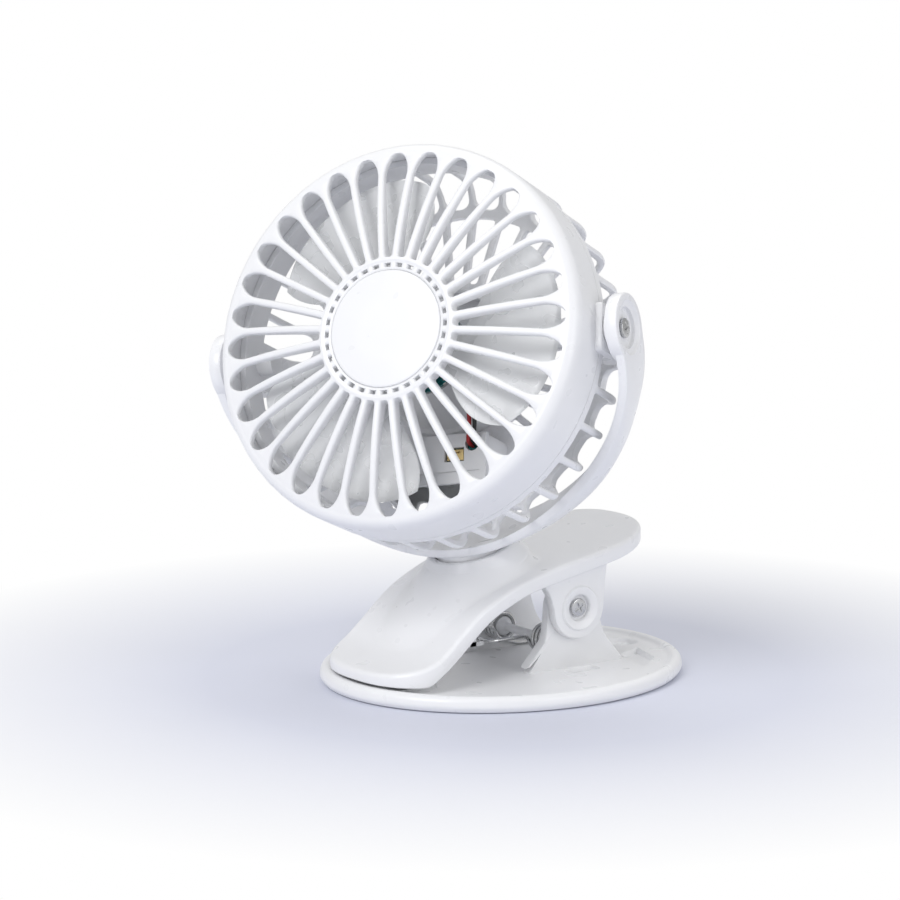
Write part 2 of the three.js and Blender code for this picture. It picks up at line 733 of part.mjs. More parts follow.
function frontGrille() {
  const r = headRadius;
  const stations = [hubHoleRadius + 2, 37, slotTipRadius];
  const hubZ = domeZ(0);
  const outside = [[hubCapRadius + gap, hubZ], ...stations.map((s) => [s, domeZ(s)])];
  outside.push([r - 1.2, faceZ - 1.6], [r, faceZ - 4.4], [r, bandRearZ]);
  const inside = [[r - headWall, bandRearZ], [r - headWall, faceZ - 3.6]];
  inside.push([slotTipRadius + 0.2, faceZ - headWall], [stations[0], domeZ(stations[0]) - headWall]);
  const bed = [[0, hubZ - capBed - headWall], [0, hubZ - capBed], [hubCapRadius + gap, hubZ - capBed]];
  const profile = [...bed, ...outside, ...inside, [hubCapRadius + 1, hubZ - capBed - headWall]];
  let body = turned([...profile, [0, hubZ - capBed - headWall]], 64);
  const slot = prism(slotOutline(), faceZ - 8, hubZ + 3);
  const h = hubHoleSize / 2;
  const hole = box(hubHoleRadius - h, hubHoleRadius + h, -h * 0.9, h * 0.9, faceZ - 4, hubZ + 3);
  const slots = around(slotCount, never, (a) => slot.rotate([0, 0, a]));
  const holes = around(slotCount, never, (a) => hole.rotate([0, 0, a]));
  const y = padHalfHeight + gap;
  const notch = box(r - 6, r + 2, -y, y, bandRearZ - 1, padFrontZ + gap);
  const otherNotch = box(-r - 2, -r + 6, -y, y, bandRearZ - 1, padFrontZ + gap);
  return cut(body, ...slots, ...holes, notch, otherNotch);
}

// A side window that runs over the shoulder to the ring, along +X.
function sideWindow() {
  const half = (Math.PI * headRadius) / slotCount - sideRibWidth / 2;
  return box(shoulderRingRadius, headRadius + 4, -half, half, rearZ - 5, windowFrontZ);
}

function backWindow(inner, outer) {
  const halfAt = (r) => (Math.PI * r) / slotCount - ribWidth / 2;
  const upper = [[inner, halfAt(inner)], [outer, halfAt(outer)]];
  const lower = upper.slice().reverse().map(([x, y]) => [x, -y]);
  return prism([...upper, ...lower], rearZ - 3, rearZ + headWall + 2);
}

const lipRadius = headRadius - headWall - gap;
const lipFrontZ = 9.2;

function rearShell() {
  const r = headRadius;
  const w = headWall;
  const outside = [[0, rearZ], [rearFlatRadius, rearZ], [r - 1.7, rearZ + 4.2], [r, shoulderZ]];
  outside.push([r, bandRearZ - gap]);
  const inside = [[lipRadius, bandRearZ - gap], [lipRadius, lipFrontZ], [lipRadius - 1.6, lipFrontZ]];
  inside.push([lipRadius - 1.6, bandRearZ - 2], [r - w, bandRearZ - 3], [r - w, shoulderZ]);
  inside.push([rearFlatRadius - 0.6, rearZ + w]);
  return turned([...outside, ...inside, [0, rearZ + w]], 64);
}

function inBoxSector(angle) {
  const fromBottom = Math.abs(((angle - 270 + 540) % 360) - 180);
  return fromBottom < 34;
}

function pivotPads() {
  const bodies = [];
  for (const s of [-1, 1]) {
    const [x0, x1] = [s * (lipRadius - 1.2), s * padReach].sort((p, q) => p - q);
    bodies.push(box(x0, x1, -padHalfHeight, padHalfHeight, padRearZ, padFrontZ));
    const [b0, b1] = [s * 46, s * (lipRadius - 1)].sort((p, q) => p - q);
    bodies.push(rodX(3.4, b0, b1, 0, 0, 16));
  }
  return bodies;
}

function rearGrille() {
  let body = rearShell();
  const side = sideWindow();
  const isPivot = (i) => i % (slotCount / 2) === 0;
  body = cut(body, ...around(slotCount, isPivot, (a) => side.rotate([0, 0, a])));
  const long = backWindow(backWindowInner, backWindowOuter);
  const short = backWindow(-boxBottomY + 2.2, backWindowOuter);
  body = cut(body, ...around(slotCount, never, (a) => (inBoxSector(a) ? short : long).rotate([0, 0, a])));
  body = joined(body, ...pivotPads());
  const floor = rearZ + 1;
  body = joined(body, ring(motorDishRadius - 1.5, motorDishRadius, floor, rearZ + 9, 32));
  body = joined(body, rod(5.2, floor, motorSeatZ, 24));
  const walls = box(-boxHalfWidth, boxHalfWidth, boxBottomY, boxTopY, rearZ, boxFrontZ - boxWall - gap);
  const inside = box(-boxHalfWidth + boxWall, boxHalfWidth - boxWall, boxBottomY + boxWall,
    boxTopY - boxWall, rearZ + boxWall, boxFrontZ);
  body = cut(joined(body, walls), inside);
  const socketMouth = box(socketX - socketWidth / 2 - gap, socketX + socketWidth / 2 + gap,
    socketY - socketHeight / 2 - gap, socketY + socketHeight / 2 + gap, rearZ - 2, rearZ + 4);
  const buttonHole = rod(buttonRadius + gap, rearZ - 2, rearZ + 4, 24, buttonX, buttonY);
  const lensHole = rod(1.2 + gap, rearZ - 2, rearZ + 4, 12, 0, lensY);
  const leadHole = rod(1.7, rearZ - 1, motorSeatZ + 1, 12, 0, 12.4);
  body = cut(body, socketMouth, buttonHole, lensHole, leadHole);
  const boreRadius = screwShankRadius + gap;
  const bores = coverScrewPlaces().map(([x, y]) => rod(boreRadius, rearZ - 1, rearZ + 9, 12, x, y));
  const pivotBore = rodX(boreRadius, -padReach - 1, -45, 0, 0, 16);
  const otherBore = rodX(boreRadius, 45, padReach + 1, 0, 0, 16);
  return cut(body, ...bores, pivotBore, otherBore);
}

function coverScrewPlaces() {
  return [90, 210, 330].map((degrees) => {
    const a = THREE.MathUtils.degToRad(degrees);
    return [coverScrewRadius * Math.cos(a), coverScrewRadius * Math.sin(a)];
  });
}

place(head, "front_grille", frontGrille(), white);
const capBottom = domeZ(0) - capBed + gap;
place(head, "grille_hub_cap", rod(hubCapRadius, capBottom, domeZ(0) + 0.2, 32), white);
place(head, "rear_grille", rearGrille(), white);

for (const [name, s] of [["right", 1], ["left", -1]]) {
  const bushX = [s * (padReach + gap), s * (yokeInner - gap)].sort((p, q) => p - q);
  const bushBore = rodX(screwShankRadius + gap, -yokeOuter, yokeOuter, 0, 0, 12);
  const bush = cut(rodX(tiltBushRadius, ...bushX, 0, 0, 20), bushBore);
  place(head, `tilt_bush_${name}`, bush, satin);
  const headX = yokeOuter - tiltRecessDepth + gap + screwHeadHeight;
  place(head, `tilt_screw_${name}`, turnToX(screw(s * headX, s * 46.6)), steel);
}

// ---------------------------------------------------------------- motor

function motorBase() {
  const seat = motorSeatZ + gap;
  const profile = [[motorTubeBore, seat], [motorBoardRadius, seat], [motorBoardRadius, seat + 1.2]];
  profile.push([motorTubeRadius, seat + 1.2], [motorTubeRadius, stackFrontZ + 1.6]);
  profile.push([motorTubeBore, stackFrontZ + 1.6]);
  return turned(profile, 24);
}

const boardZ = motorSeatZ + gap + 1.2 + gap;

function statorCore() {
  const inner = motorTubeRadius + gap;
  let body = ring(inner, inner + 2.0, stackRearZ, stackFrontZ, 18);
  for (let i = 0; i < poleCount; i++) {
    const arm = box(inner + 1.2, poleTipRadius - 0.9, -1.2, 1.2, stackRearZ, stackFrontZ);
    const half = (0.36 * 360) / poleCount;
    const face = arc(0, 0, poleTipRadius, -half, half, 3);
    const back = arc(0, 0, poleTipRadius - 1.3, half, -half, 1);
    const shoe = prism([...face, ...back], stackRearZ, stackFrontZ);
    body = joined(body, joined(arm, shoe).rotate([0, 0, (360 * i) / poleCount]));
  }
  return body;
}

function coil(angle) {
  const inner = 1.2 + gap;
  const outer = inner + coilThickness;
  const r0 = motorTubeRadius + gap + 2.0 + gap;
  const r1 = Math.sqrt((poleTipRadius - 1.3 - gap) ** 2 - outer ** 2);
  const [z0, z1] = [stackRearZ - gap, stackFrontZ + gap];
  const loop = prismX([[-outer + 0.6, z0 - coilThickness], [outer - 0.6, z0 - coilThickness],
    [outer, z0 - coilThickness + 0.6], [outer, z1 + coilThickness - 0.6], [outer - 0.6, z1 + coilThickness],
    [-outer + 0.6, z1 + coilThickness], [-outer, z1 + coilThickness - 0.6],
    [-outer, z0 - coilThickness + 0.6]], r0, r1);
  return cut(loop, box(r0 - 1, r1 + 1, -inner, inner, z0, z1)).rotate([0, 0, angle]);
}

const bellFrontZ = bladeHubFrontZ - 1.7;
const bellRearZ = bladeHubRearZ - 1.2;

function rotorBell() {
  const wall = 0.8;
  const profile = [[shaftRadius + gap, bellFrontZ - wall], [shaftRadius + gap, bellFrontZ]];
  profile.push([bellRadius, bellFrontZ], [bellRadius, bellRearZ], [bellRadius - wall, bellRearZ]);
  profile.push([bellRadius - wall, bellFrontZ - wall]);
  return turned(profile, 24);
}

place(head, "motor_base", motorBase(), steel);
place(head, "motor_board", ring(motorTubeRadius + gap, motorBoardRadius, boardZ, boardZ + 1.0, 24), board);
place(head, "stator_core", statorCore(), iron);
for (let i = 0; i < poleCount; i++) {
  place(head, `motor_coil_${i + 1}`, coil((360 * i) / poleCount), copper);
}
const bearingOuter = motorTubeBore - gap;
const bearingInner = shaftRadius + gap;
const bearingLength = 3.5;
for (const [name, z0] of [["rear", motorSeatZ + 1.2], ["front", stackFrontZ - 2.4]]) {
  const bearing = ring(bearingInner, bearingOuter, z0, z0 + bearingLength, 12);
  place(head, `shaft_bearing_${name}`, bearing, gold);
}
place(head, "motor_shaft", rod(shaftRadius, motorSeatZ + 0.8, bladeHubFrontZ - 0.8, 16), steel);
place(head, "rotor_bell", rotorBell(), steel);
const magnetOuter = bellRadius - 0.8 - gap;
const magnet = ring(magnetOuter - 1.0, magnetOuter, bellRearZ + gap, bellFrontZ - 0.8 - gap, 24);
place(head, "rotor_magnet", magnet, dark);

// ---------------------------------------------------------------- fan blades

// A blade's point: u from root to tip, v across the chord, side +1 front or -1 rear.
function bladePoint(u, v, side) {
  const root = bladeHubRadius - 0.7;
  const tip = bladeTipRadius * (1 - 0.075 * Math.abs(v) ** 3.2);
  const r = root + (tip - root) * u;
  const halfChord = THREE.MathUtils.degToRad(14 + 30 * (1 - (1 - u) ** 3) - 6 * u ** 4);
  const a = halfChord * v + THREE.MathUtils.degToRad(9 * u);
  const camber = 1.8 * (1 - v * v) * u;
  const thick = (bladeThickness / 2) * (1 - 0.55 * Math.abs(v) ** 3) * side;
  const z = bladeMidZ + 1.6 - bladePitch * v * (1 - 0.25 * u) - camber + thick;
  return new THREE.Vector3(r * Math.cos(a), r * Math.sin(a), z);
}

function blade() {
  const [rows, columns] = [4, 6];
  const points = [];
  for (const side of [1, -1]) {
    for (let i = 0; i <= rows; i++) {
      for (let j = 0; j <= columns; j++) {
        points.push(bladePoint(i / rows, (2 * j) / columns - 1, side));
      }
    }
  }
  const stride = columns + 1;
  const layer = (rows + 1) * stride;
  const index = [];
  const quad = (a, b, c, d) => index.push(a, b, c, a, c, d);
  for (let i = 0; i < rows; i++) {
    for (let j = 0; j < columns; j++) {
      const a = i * stride + j;
      quad(a, a + stride, a + stride + 1, a + 1);
      quad(layer + a, layer + a + 1, layer + a + stride + 1, layer + a + stride);
    }
  }
  for (let i = 0; i < rows; i++) {
    const a = i * stride;
    const b = a + columns;
    quad(a, layer + a, layer + a + stride, a + stride);
    quad(b, b + stride, layer + b + stride, layer + b);
  }
  for (let j = 0; j < columns; j++) {
    const b = rows * stride + j;
    quad(j, j + 1, layer + j + 1, layer + j);
    quad(b, layer + b, layer + b + 1, b + 1);
  }
  const geometry = new THREE.BufferGeometry().setFromPoints(points);
  geometry.setIndex(index);
  return solid(geometry);
}

function fanBlades() {
  const wall = 1.0;
  const inner = bladeHubRadius - wall;
  const z1 = bladeHubFrontZ;
  const profile = [[0, z1 - 1.3], [0, z1], [bladeHubRadius - 1.2, z1], [bladeHubRadius, z1 - 1.0]];
  profile.push([bladeHubRadius, bladeHubRearZ], [inner, bladeHubRearZ], [inner, z1 - 1.3]);
  let body = turned([...profile, [0, z1 - 1.3]], 32);
  for (let i = 0; i < bladeCount; i++) {
    const turn = 90 + (360 * i) / bladeCount + 18;
    body = joined(body, blade().rotate([0, 0, turn]));
  }
  return cut(body, rod(inner, bladeHubRearZ - 8, z1 - 1.3, 32), rod(shaftRadius + gap, 0, z1 - 0.5, 16));
}

place(head, "fan_blades", fanBlades(), frosted);

// ---------------------------------------------------------------- control box

const lidRearZ = boxFrontZ - boxWall;
const leadHoleX = socketX + 5.4;
const leadHoleY = boxTopY - 2.9;

function boxLid() {
  const plate = box(-boxHalfWidth, boxHalfWidth, boxBottomY, boxTopY, lidRearZ, boxFrontZ);
  const window = box(socketX - socketWidth / 2, socketX + socketWidth / 2, socketY - socketHeight / 2,
    socketY + socketHeight / 2, lidRearZ - 1, boxFrontZ + 1);
  const ledge = box(-boxHalfWidth + 2, boxHalfWidth - 2, boxBottomY + 2.4, boxBottomY + 3.4,
    boxFrontZ - 0.5, boxFrontZ + 1);
  const leadHole = rod(2.2, lidRearZ - 1, boxFrontZ + 1, 12, leadHoleX, leadHoleY);
  return cut(plate, window, ledge, leadHole);
}

const controlBoardZ = lidRearZ - gap - 0.9 - boardThickness;
const boxInsideX = boxHalfWidth - boxWall - gap;

function controlBoard() {
  const plate = box(-boxInsideX, boxInsideX, boxBottomY + boxWall + gap, boxTopY - boxWall - gap,
    controlBoardZ, controlBoardZ + boardThickness);
  const notch = box(socketX - socketWidth / 2 + 0.5 - gap, socketX + socketWidth / 2 - 0.5 + gap,
    socketY - socketHeight / 2 + 0.5 - gap, socketY + socketHeight / 2 - 0.5 + gap,
    controlBoardZ - 1, controlBoardZ + 2);
  return cut(plate, notch);
}

// The charging socket: a metal frame open to the rear, its tongue inside.
function usbSocket() {
  const [hw, hh] = [socketWidth / 2, socketHeight / 2];
  const flange = controlBoardZ - gap;
  const outer = box(socketX - hw, socketX + hw, socketY - hh, socketY + hh, rearZ + 0.4, flange);
  const neck = box(socketX - hw + 0.5, socketX + hw - 0.5, socketY - hh + 0.5, socketY + hh - 0.5,
    flange - 1, lidRearZ + 0.9);
  const mouth = box(socketX - hw + 0.7, socketX + hw - 0.7, socketY - hh + 0.7, socketY + hh - 0.7,
    rearZ - 1, flange - 1.4);
  const tongue = box(socketX - hw + 1.6, socketX + hw - 1.6, socketY - 0.4, socketY + 0.4,
    rearZ + 1.2, flange - 1);
  const face = box(socketX - hw + 1.2, socketX + hw - 1.2, socketY - hh + 1.1, socketY + hh - 1.1,
    lidRearZ + 0.1, lidRearZ + 2);
  return cut(joined(cut(joined(outer, neck), mouth), tongue), face);
}

// The button's cap, retained behind the rear face by its flange.
function powerButton() {
  const cap = rod(buttonRadius, rearZ - 1.4, rearZ + boxWall + gap + 0.1, 20, buttonX, buttonY);
  const flangeZ = rearZ + boxWall + gap;
  return joined(cap, rod(buttonRadius + 1.2, flangeZ, flangeZ + 0.8, 20, buttonX, buttonY));
}

const switchFace = rearZ + boxWall + gap + 0.8 + buttonTravel + gap;

function pushSwitch() {
  const body = box(buttonX - 2.6, buttonX + 2.6, buttonY - 2.6, buttonY + 2.6,
    switchFace + 0.6, controlBoardZ - gap);
  return joined(body, rod(1.4, switchFace, switchFace + 1, 12, buttonX, buttonY));
}

place(head, "control_box_lid", boxLid(), satin);
place(head, "control_board", controlBoard(), board);
place(head, "usb_socket", usbSocket(), gold);
place(head, "power_button", powerButton(), satin);
place(head, "push_switch", pushSwitch(), dark);
const lens = joined(rod(1.2, rearZ - 0.2, rearZ + boxWall + 1, 12, 0, lensY),
  rod(1.9, rearZ + boxWall + gap, controlBoardZ - gap, 12, 0, lensY));
place(head, "indicator_lens", lens, frosted);

// ---------------------------------------------------------------- battery

const coverFrontZ = rearZ - gap;

function rearCover() {
  const r = coverRadius;
  const outside = [[0, coverRearZ], [r - 4.0, coverRearZ], [r - 0.8, coverRearZ + 1.8]];
  outside.push([r, coverRearZ + 4.0]);
  const wall = coverWall;
  const inside = [[r, coverFrontZ], [r - wall, coverFrontZ], [r - wall, coverRearZ + 4.2]];
  inside.push([r - wall - 3.2, coverRearZ + wall], [0, coverRearZ + wall]);
  let body = turned([...outside, ...inside], 30);
  for (const [x, y] of coverScrewPlaces()) {
    const collar = rod(3.6, coverRearZ + 0.4, coverFrontZ, 10, x, y);
    body = joined(body, collar.intersect(rod(r - 0.5, coverRearZ, coverFrontZ, 30)));
    body = cut(body, rod(screwHeadRadius - 0.7, coverRearZ - 1, coverRearZ + 3.4, 12, x, y));
    body = cut(body, rod(screwShankRadius - 0.2, coverRearZ - 1, coverFrontZ + 1, 8, x, y));
  }
  return body;
}

function smallScrew(x, y) {
  const zHead = coverRearZ + 1.8;
  const profile = [[0, zHead], [1.9, zHead], [2.2, zHead + 1.3], [0.9, zHead + 1.3]];
  profile.push([0.9, rearZ + 5.0], [0, rearZ + 5.0]);
  const body = turned(profile, 12);
  const cross = joined(box(-1.2, 1.2, -0.25, 0.25, zHead - 1, zHead + 0.5),
    box(-0.25, 0.25, -1.2, 1.2, zHead - 1, zHead + 0.5));
  return cut(body, cross).translate([x, y, 0]);
}

place(head, "rear_cover", rearCover(), white);
coverScrewPlaces().forEach(([x, y], i) => {
  place(head, `cover_screw_${i + 1}`, smallScrew(x, y), steel);
});
const cell = box(-11.5, 11.5, -8.0, 8.0, coverRearZ + coverWall + gap, coverFrontZ - 0.2);
place(head, "battery_cell", cell, foil);

// ---------------------------------------------------------------- leads

function lead(offset) {
  const points = [[9.2, -6.4, boardZ + 1.6], [11.6, -9.6, boardZ + 2.3], [13.6, -13.4, boardZ + 1.4]];
  points.push([14.8, -17.6, -1.6], [14.4, -22.6, -3.6]);
  points.push([leadHoleX + 0.4, leadHoleY + 0.6, boxFrontZ + 1.6], [leadHoleX, leadHoleY, lidRearZ - 0.4]);
  points.push([leadHoleX, leadHoleY, controlBoardZ + boardThickness + gap]);
  const shifted = points.map(([x, y, z]) => new THREE.Vector3(x + offset, y + offset * 0.25, z));
  const curve = new THREE.CatmullRomCurve3(shifted, false, "centripetal");
  return wire(curve.getPoints(15), leadRadius, 6);
}

place(head, "red_lead", lead(-0.8), redWire);
place(head, "black_lead", lead(0.8), blackWire);

export default fanAssembly;
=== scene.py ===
import math

import bmesh
import bpy
import numpy as np
from mathutils import Matrix, Vector


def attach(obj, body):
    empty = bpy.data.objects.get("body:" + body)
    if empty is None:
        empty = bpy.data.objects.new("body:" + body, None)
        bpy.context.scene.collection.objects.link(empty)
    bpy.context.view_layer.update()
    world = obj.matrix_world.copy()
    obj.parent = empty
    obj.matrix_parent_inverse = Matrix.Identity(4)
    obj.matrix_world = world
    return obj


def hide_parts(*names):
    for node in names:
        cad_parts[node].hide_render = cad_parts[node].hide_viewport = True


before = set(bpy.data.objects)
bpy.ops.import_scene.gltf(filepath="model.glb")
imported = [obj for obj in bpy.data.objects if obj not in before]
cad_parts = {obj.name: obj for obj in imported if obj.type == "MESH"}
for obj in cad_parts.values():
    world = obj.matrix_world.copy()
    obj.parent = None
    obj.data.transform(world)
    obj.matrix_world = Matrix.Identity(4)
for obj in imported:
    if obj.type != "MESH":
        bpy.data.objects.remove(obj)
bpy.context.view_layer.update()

# ---------------------------------------------------------------- clip base
# The oval foot of the clip: one white moulding with a raised rim, two hollows behind
# the hinge, a finger dimple at the back, and two upright lugs that carry the hinge.

BASE_LENGTH, BASE_WIDTH, BASE_RIM, BASE_FLOOR = 109.6, 95.4, 4.6, 3.4
POCKET_DEPTH, SLOT_DEPTH, DIMPLE_RADIUS = 1.5, 2.0, 4.8
HINGE_Y, HINGE_Z = 11.9, 21.2
UPRIGHT_INNER_X, UPRIGHT_OUTER_X, UPRIGHT_RADIUS = 14.5, 17.7, 8.6
WHITE = (0.875, 0.88, 0.895)


def softened(points, cut, steps=4):
    """Round each inner corner of a line with a short parabola that starts `cut` before it."""
    p = np.asarray(points, float)
    at = p[1:-1]

    def toward(other):
        away = other - at
        length = np.linalg.norm(away, axis=1, keepdims=True)
        return at + away * np.minimum(cut / np.maximum(length, 1e-9), 0.48)

    s = np.linspace(0, 1, steps + 1)[None, :, None]
    before, after = toward(p[:-2])[:, None], toward(p[2:])[:, None]
    curve = (1 - s) ** 2 * before + 2 * s * (1 - s) * at[:, None] + s**2 * after
    return np.vstack([p[:1], curve.reshape(-1, p.shape[1]), p[-1:]])


def spaced(points, step):
    """Points along a line, with further ones in each stretch that is longer than a step."""
    p = np.asarray(points, float)
    along = np.concatenate([[0], np.cumsum(np.linalg.norm(np.diff(p, axis=0), axis=1))])
    even = np.arange(0, along[-1], step)
    wanted = np.unique(np.round(np.concatenate([along, even]), 4))
    return np.stack([np.interp(wanted, along, p[:, i]) for i in range(p.shape[1])], 1)


def grid_faces(rows, columns, close_rows=False, close_columns=False):
    """The four-cornered faces of a grid of points, joined round where it closes."""
    i = np.arange(rows if close_rows else rows - 1)
    j = np.arange(columns if close_columns else columns - 1)
    i, j = np.meshgrid(i, j, indexing="ij")
    i2, j2 = (i + 1) % rows, (j + 1) % columns
    faces = [i * columns + j, i * columns + j2, i2 * columns + j2, i2 * columns + j]
    return np.stack(faces, -1).reshape(-1, 4)


def turned(profile, sides=96):
    """A profile of radius and height, carried round the Z axis."""
    p = np.asarray(profile, float)
    a = np.linspace(0, 2 * np.pi, sides, endpoint=False)
    x = p[:, :1] * np.cos(a)
    y = p[:, :1] * np.sin(a)
    z = np.repeat(p[:, 1:], sides, 1)
    return np.stack([x, y, z], -1), grid_faces(len(p), sides, close_columns=True)


def lug(centre, outline, stations, sides=144, side=1):
    """A flat plate across X, star-shaped about a centre in Y and Z.

    The outline gives its reach at each angle. Each station is a radius, the share of the
    reach that is added to it, and the station's X, from the middle of one face to the
    middle of the other.
    """
    a = np.linspace(0, 2 * np.pi, sides, endpoint=False)
    reach = outline(a)
    own, share, x = np.asarray(stations, float).T
    r = own[:, None] + share[:, None] * reach
    y = centre[0] + r * np.cos(a)
    z = centre[1] + r * np.sin(a)
    points = np.stack([np.repeat(side * x[:, None], sides, 1), y, z], -1)
    return points, grid_faces(len(own), sides, close_columns=True)


def star_reach(corners, centre, cut):
    """The reach of a closed outline at each angle about a centre, with softened corners."""
    loop = np.asarray(corners, float)
    line = spaced(softened(np.vstack([loop, loop[:2]]), cut)[1:-1], 0.25) - centre
    angle = np.arctan2(line[:, 1], line[:, 0])
    order = np.argsort(angle)
    return lambda a: np.interp(a, angle[order], np.linalg.norm(line[order], axis=1), period=2 * np.pi)


def closed_mesh(name, points, faces):
    """A mesh from points in millimetres, with doubled points joined and faces turned out."""
    mesh = bpy.data.meshes.new(name)
    mesh.from_pydata((points / 1000).tolist(), [], faces.tolist())
    work = bmesh.new()
    work.from_mesh(mesh)
    bmesh.ops.remove_doubles(work, verts=work.verts, dist=2e-6)
    bmesh.ops.dissolve_degenerate(work, edges=work.edges, dist=1e-7)
    bmesh.ops.recalc_face_normals(work, faces=work.faces)
    work.to_mesh(mesh)
    work.free()
    return mesh


def piece(name, surfaces, finish, body, slot, *nodes, crease=38):
    """A named piece from surfaces in millimetres, on its body, in place of its nodes."""
    points, faces, start = [], [], 0
    for grid, quads in surfaces:
        points.append(grid.reshape(-1, 3))
        faces.append(quads + start)
        start += len(points[-1])
    mesh = closed_mesh(name, np.vstack(points), np.vstack(faces))
    mesh.shade_smooth()
    mesh.set_sharp_from_angle(angle=math.radians(crease))
    mesh.materials.append(finish)
    made = bpy.data.objects.new(name, mesh)
    bpy.context.scene.collection.objects.link(made)
    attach(made, body)
    if nodes:
        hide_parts(*nodes)
    return made


def new_finish(name):
    """An empty finish: its material, its node tree, its shader and its object coordinates."""
    material = bpy.data.materials.new(name)
    material.use_nodes = True
    tree = material.node_tree
    shader = tree.nodes["Principled BSDF"]
    where = tree.nodes.new("ShaderNodeTexCoord").outputs["Object"]
    return material, tree, shader, where


def node(tree, kind, inputs, **settings):
    """A shader node with its settings; an input takes a level, or a link to another's output."""
    made = tree.nodes.new("ShaderNode" + kind)
    for name, value in settings.items():
        setattr(made, name, value)
    for name, value in inputs.items():
        if isinstance(value, bpy.types.NodeSocket):
            tree.links.new(value, made.inputs[name])
        else:
            made.inputs[name].default_value = value
    return made


def noise(tree, where, scale, detail=3.0):
    return node(tree, "TexNoise", {"Vector": where, "Scale": scale, "Detail": detail}).outputs["Fac"]


def ranged(tree, value, low, high, first=0.3, last=0.7):
    """A pattern's middle range, brought between two levels."""
    levels = {"Value": value, "From Min": first, "From Max": last, "To Min": low, "To Max": high}
    return node(tree, "MapRange", levels).outputs["Result"]


def tinted(tree, value, first, second):
    """A colour that drifts from the first to the second as a pattern rises."""
    colours = {"Factor": value, "A": (*first, 1), "B": (*second, 1)}
    return node(tree, "Mix", colours, data_type="RGBA").outputs["Result"]


def embossed(tree, height, distance, strength, under=None):
    """A bump of some height in metres, on top of another one where it is given."""
    inputs = {"Height": height, "Distance": distance, "Strength": strength}
    if under is not None:
        inputs["Normal"] = under
    return node(tree, "Bump", inputs).outputs["Normal"]


def scaled(colour, share):
    return tuple(c * share for c in colour)


def fed(shader, colour, rough, normal, **levels):
    """Lead a colour, a roughness and a bump into a shader, and set its other levels."""
    for name, value in (("Base Color", colour), ("Roughness", rough), ("Normal", normal)):
        shader.id_data.links.new(value, shader.inputs[name])
    for name, value in levels.items():
        shader.inputs[name.replace("_", " ")].default_value = value


def moulded(name, colour, gloss, grain=6e-6, drift=0.02):
    """Moulded plastic: a slow drift in colour and gloss, sink waves, and a fine spark grain."""
    material, tree, shader, where = new_finish(name)
    slow = ranged(tree, noise(tree, where, 60, 2), 0, 1)
    fine = noise(tree, where, 240, 1)
    rough = ranged(tree, noise(tree, where, 180, 1), gloss * 0.9, gloss * 1.12)
    waves = embossed(tree, noise(tree, where, 70, 0), 4e-5, 0.15)
    spark = embossed(tree, fine, grain, 0.12, waves)
    fed(shader, tinted(tree, slow, colour, scaled(colour, 1 - drift)), rough, spark, IOR=1.49)
    return material


gloss_white = moulded("gloss_white_plastic", WHITE, 0.3)
satin_white = moulded("satin_white_plastic", (0.85, 0.855, 0.87), 0.46, grain=1.2e-5)


def hollow(x, y, corners, edge=0.9):
    """How far a point is into a convex hollow: 0 outside it, 1 past its sloping edge."""
    c = np.asarray(corners, float)
    ahead = np.roll(c, -1, 0) - c
    normal = np.stack([-ahead[:, 1], ahead[:, 0]], 1) / np.linalg.norm(ahead, axis=1)[:, None]
    inside = np.min((x[..., None] - c[:, 0]) * normal[:, 0] + (y[..., None] - c[:, 1]) * normal[:, 1], -1)
    t = np.clip(inside / edge, 0, 1)
    return t * t * (3 - 2 * t)


def base_surface():
    """An oval disc: rings shrink towards its middle, and its floor dips in each hollow."""
    a = BASE_LENGTH / 2
    edge = softened([(a - 6, BASE_FLOOR), (a - 4.2, BASE_FLOOR), (a - 3.2, BASE_RIM), (a - 1.6, BASE_RIM),
                     (a - 0.4, 3.6), (a, 1.6), (a - 1.2, 0), (a - 4, 0)], 0.7, 4)
    inner = np.stack([np.linspace(0.001, a - 6, 150), np.full(150, BASE_FLOOR)], 1)
    under = np.array([(a - 4, 0), (0.001, 0)])
    points, faces = turned(np.vstack([inner, edge[1:], under[1:]]), 440)
    points[..., 0] *= BASE_WIDTH / BASE_LENGTH
    x, y = points[..., 0], points[..., 1]
    back = HINGE_Y + 17.5
    dip = np.zeros_like(x)
    for side in (-1, 1):
        pocket = [(9, back + 13.5), (13.5, back + 3.5), (29.5, back - 0.5), (22, back + 9.5)]
        slot = [(19.1, 7.5), (23.9, 7.5), (23.9, 17.3), (19.1, 17.3)]
        pocket, slot = ([(side * px, py) for px, py in shape][::side] for shape in (pocket, slot))
        dip += POCKET_DEPTH * hollow(x, y, pocket, 0.6) + SLOT_DEPTH * hollow(x, y, slot, 0.4)
    around = np.hypot(x, y - (a - 10.5))
    dip += POCKET_DEPTH * np.clip((DIMPLE_RADIUS - around) / 1.2, 0, 1)
    points[..., 2] -= dip * (points[..., 2] > 1.0)
    return points, faces


def upright_reach():
    """The flared foot, the straight sides and the round top of an upright, from the side."""
    y, z = HINGE_Y, HINGE_Z
    a = np.radians(np.linspace(0, 180, 25))
    top = np.stack([y + UPRIGHT_RADIUS * np.cos(a), z + UPRIGHT_RADIUS * np.sin(a)], 1)
    left = [(y - 8.8, 18.6), (y - 9.4, 13.6), (y - 10.8, 9.2), (y - 13.6, 6.0), (y - 18.0, 4.2),
            (y - 18.0, 2.6)]
    right = [(y + 18.6, 2.6), (y + 18.6, 5.0), (y + 14.2, 8.0), (y + 11.6, 12.4), (y + 10.0, 17.0)]
    return star_reach(np.vstack([top, left, right]), (y, z), 1.2)


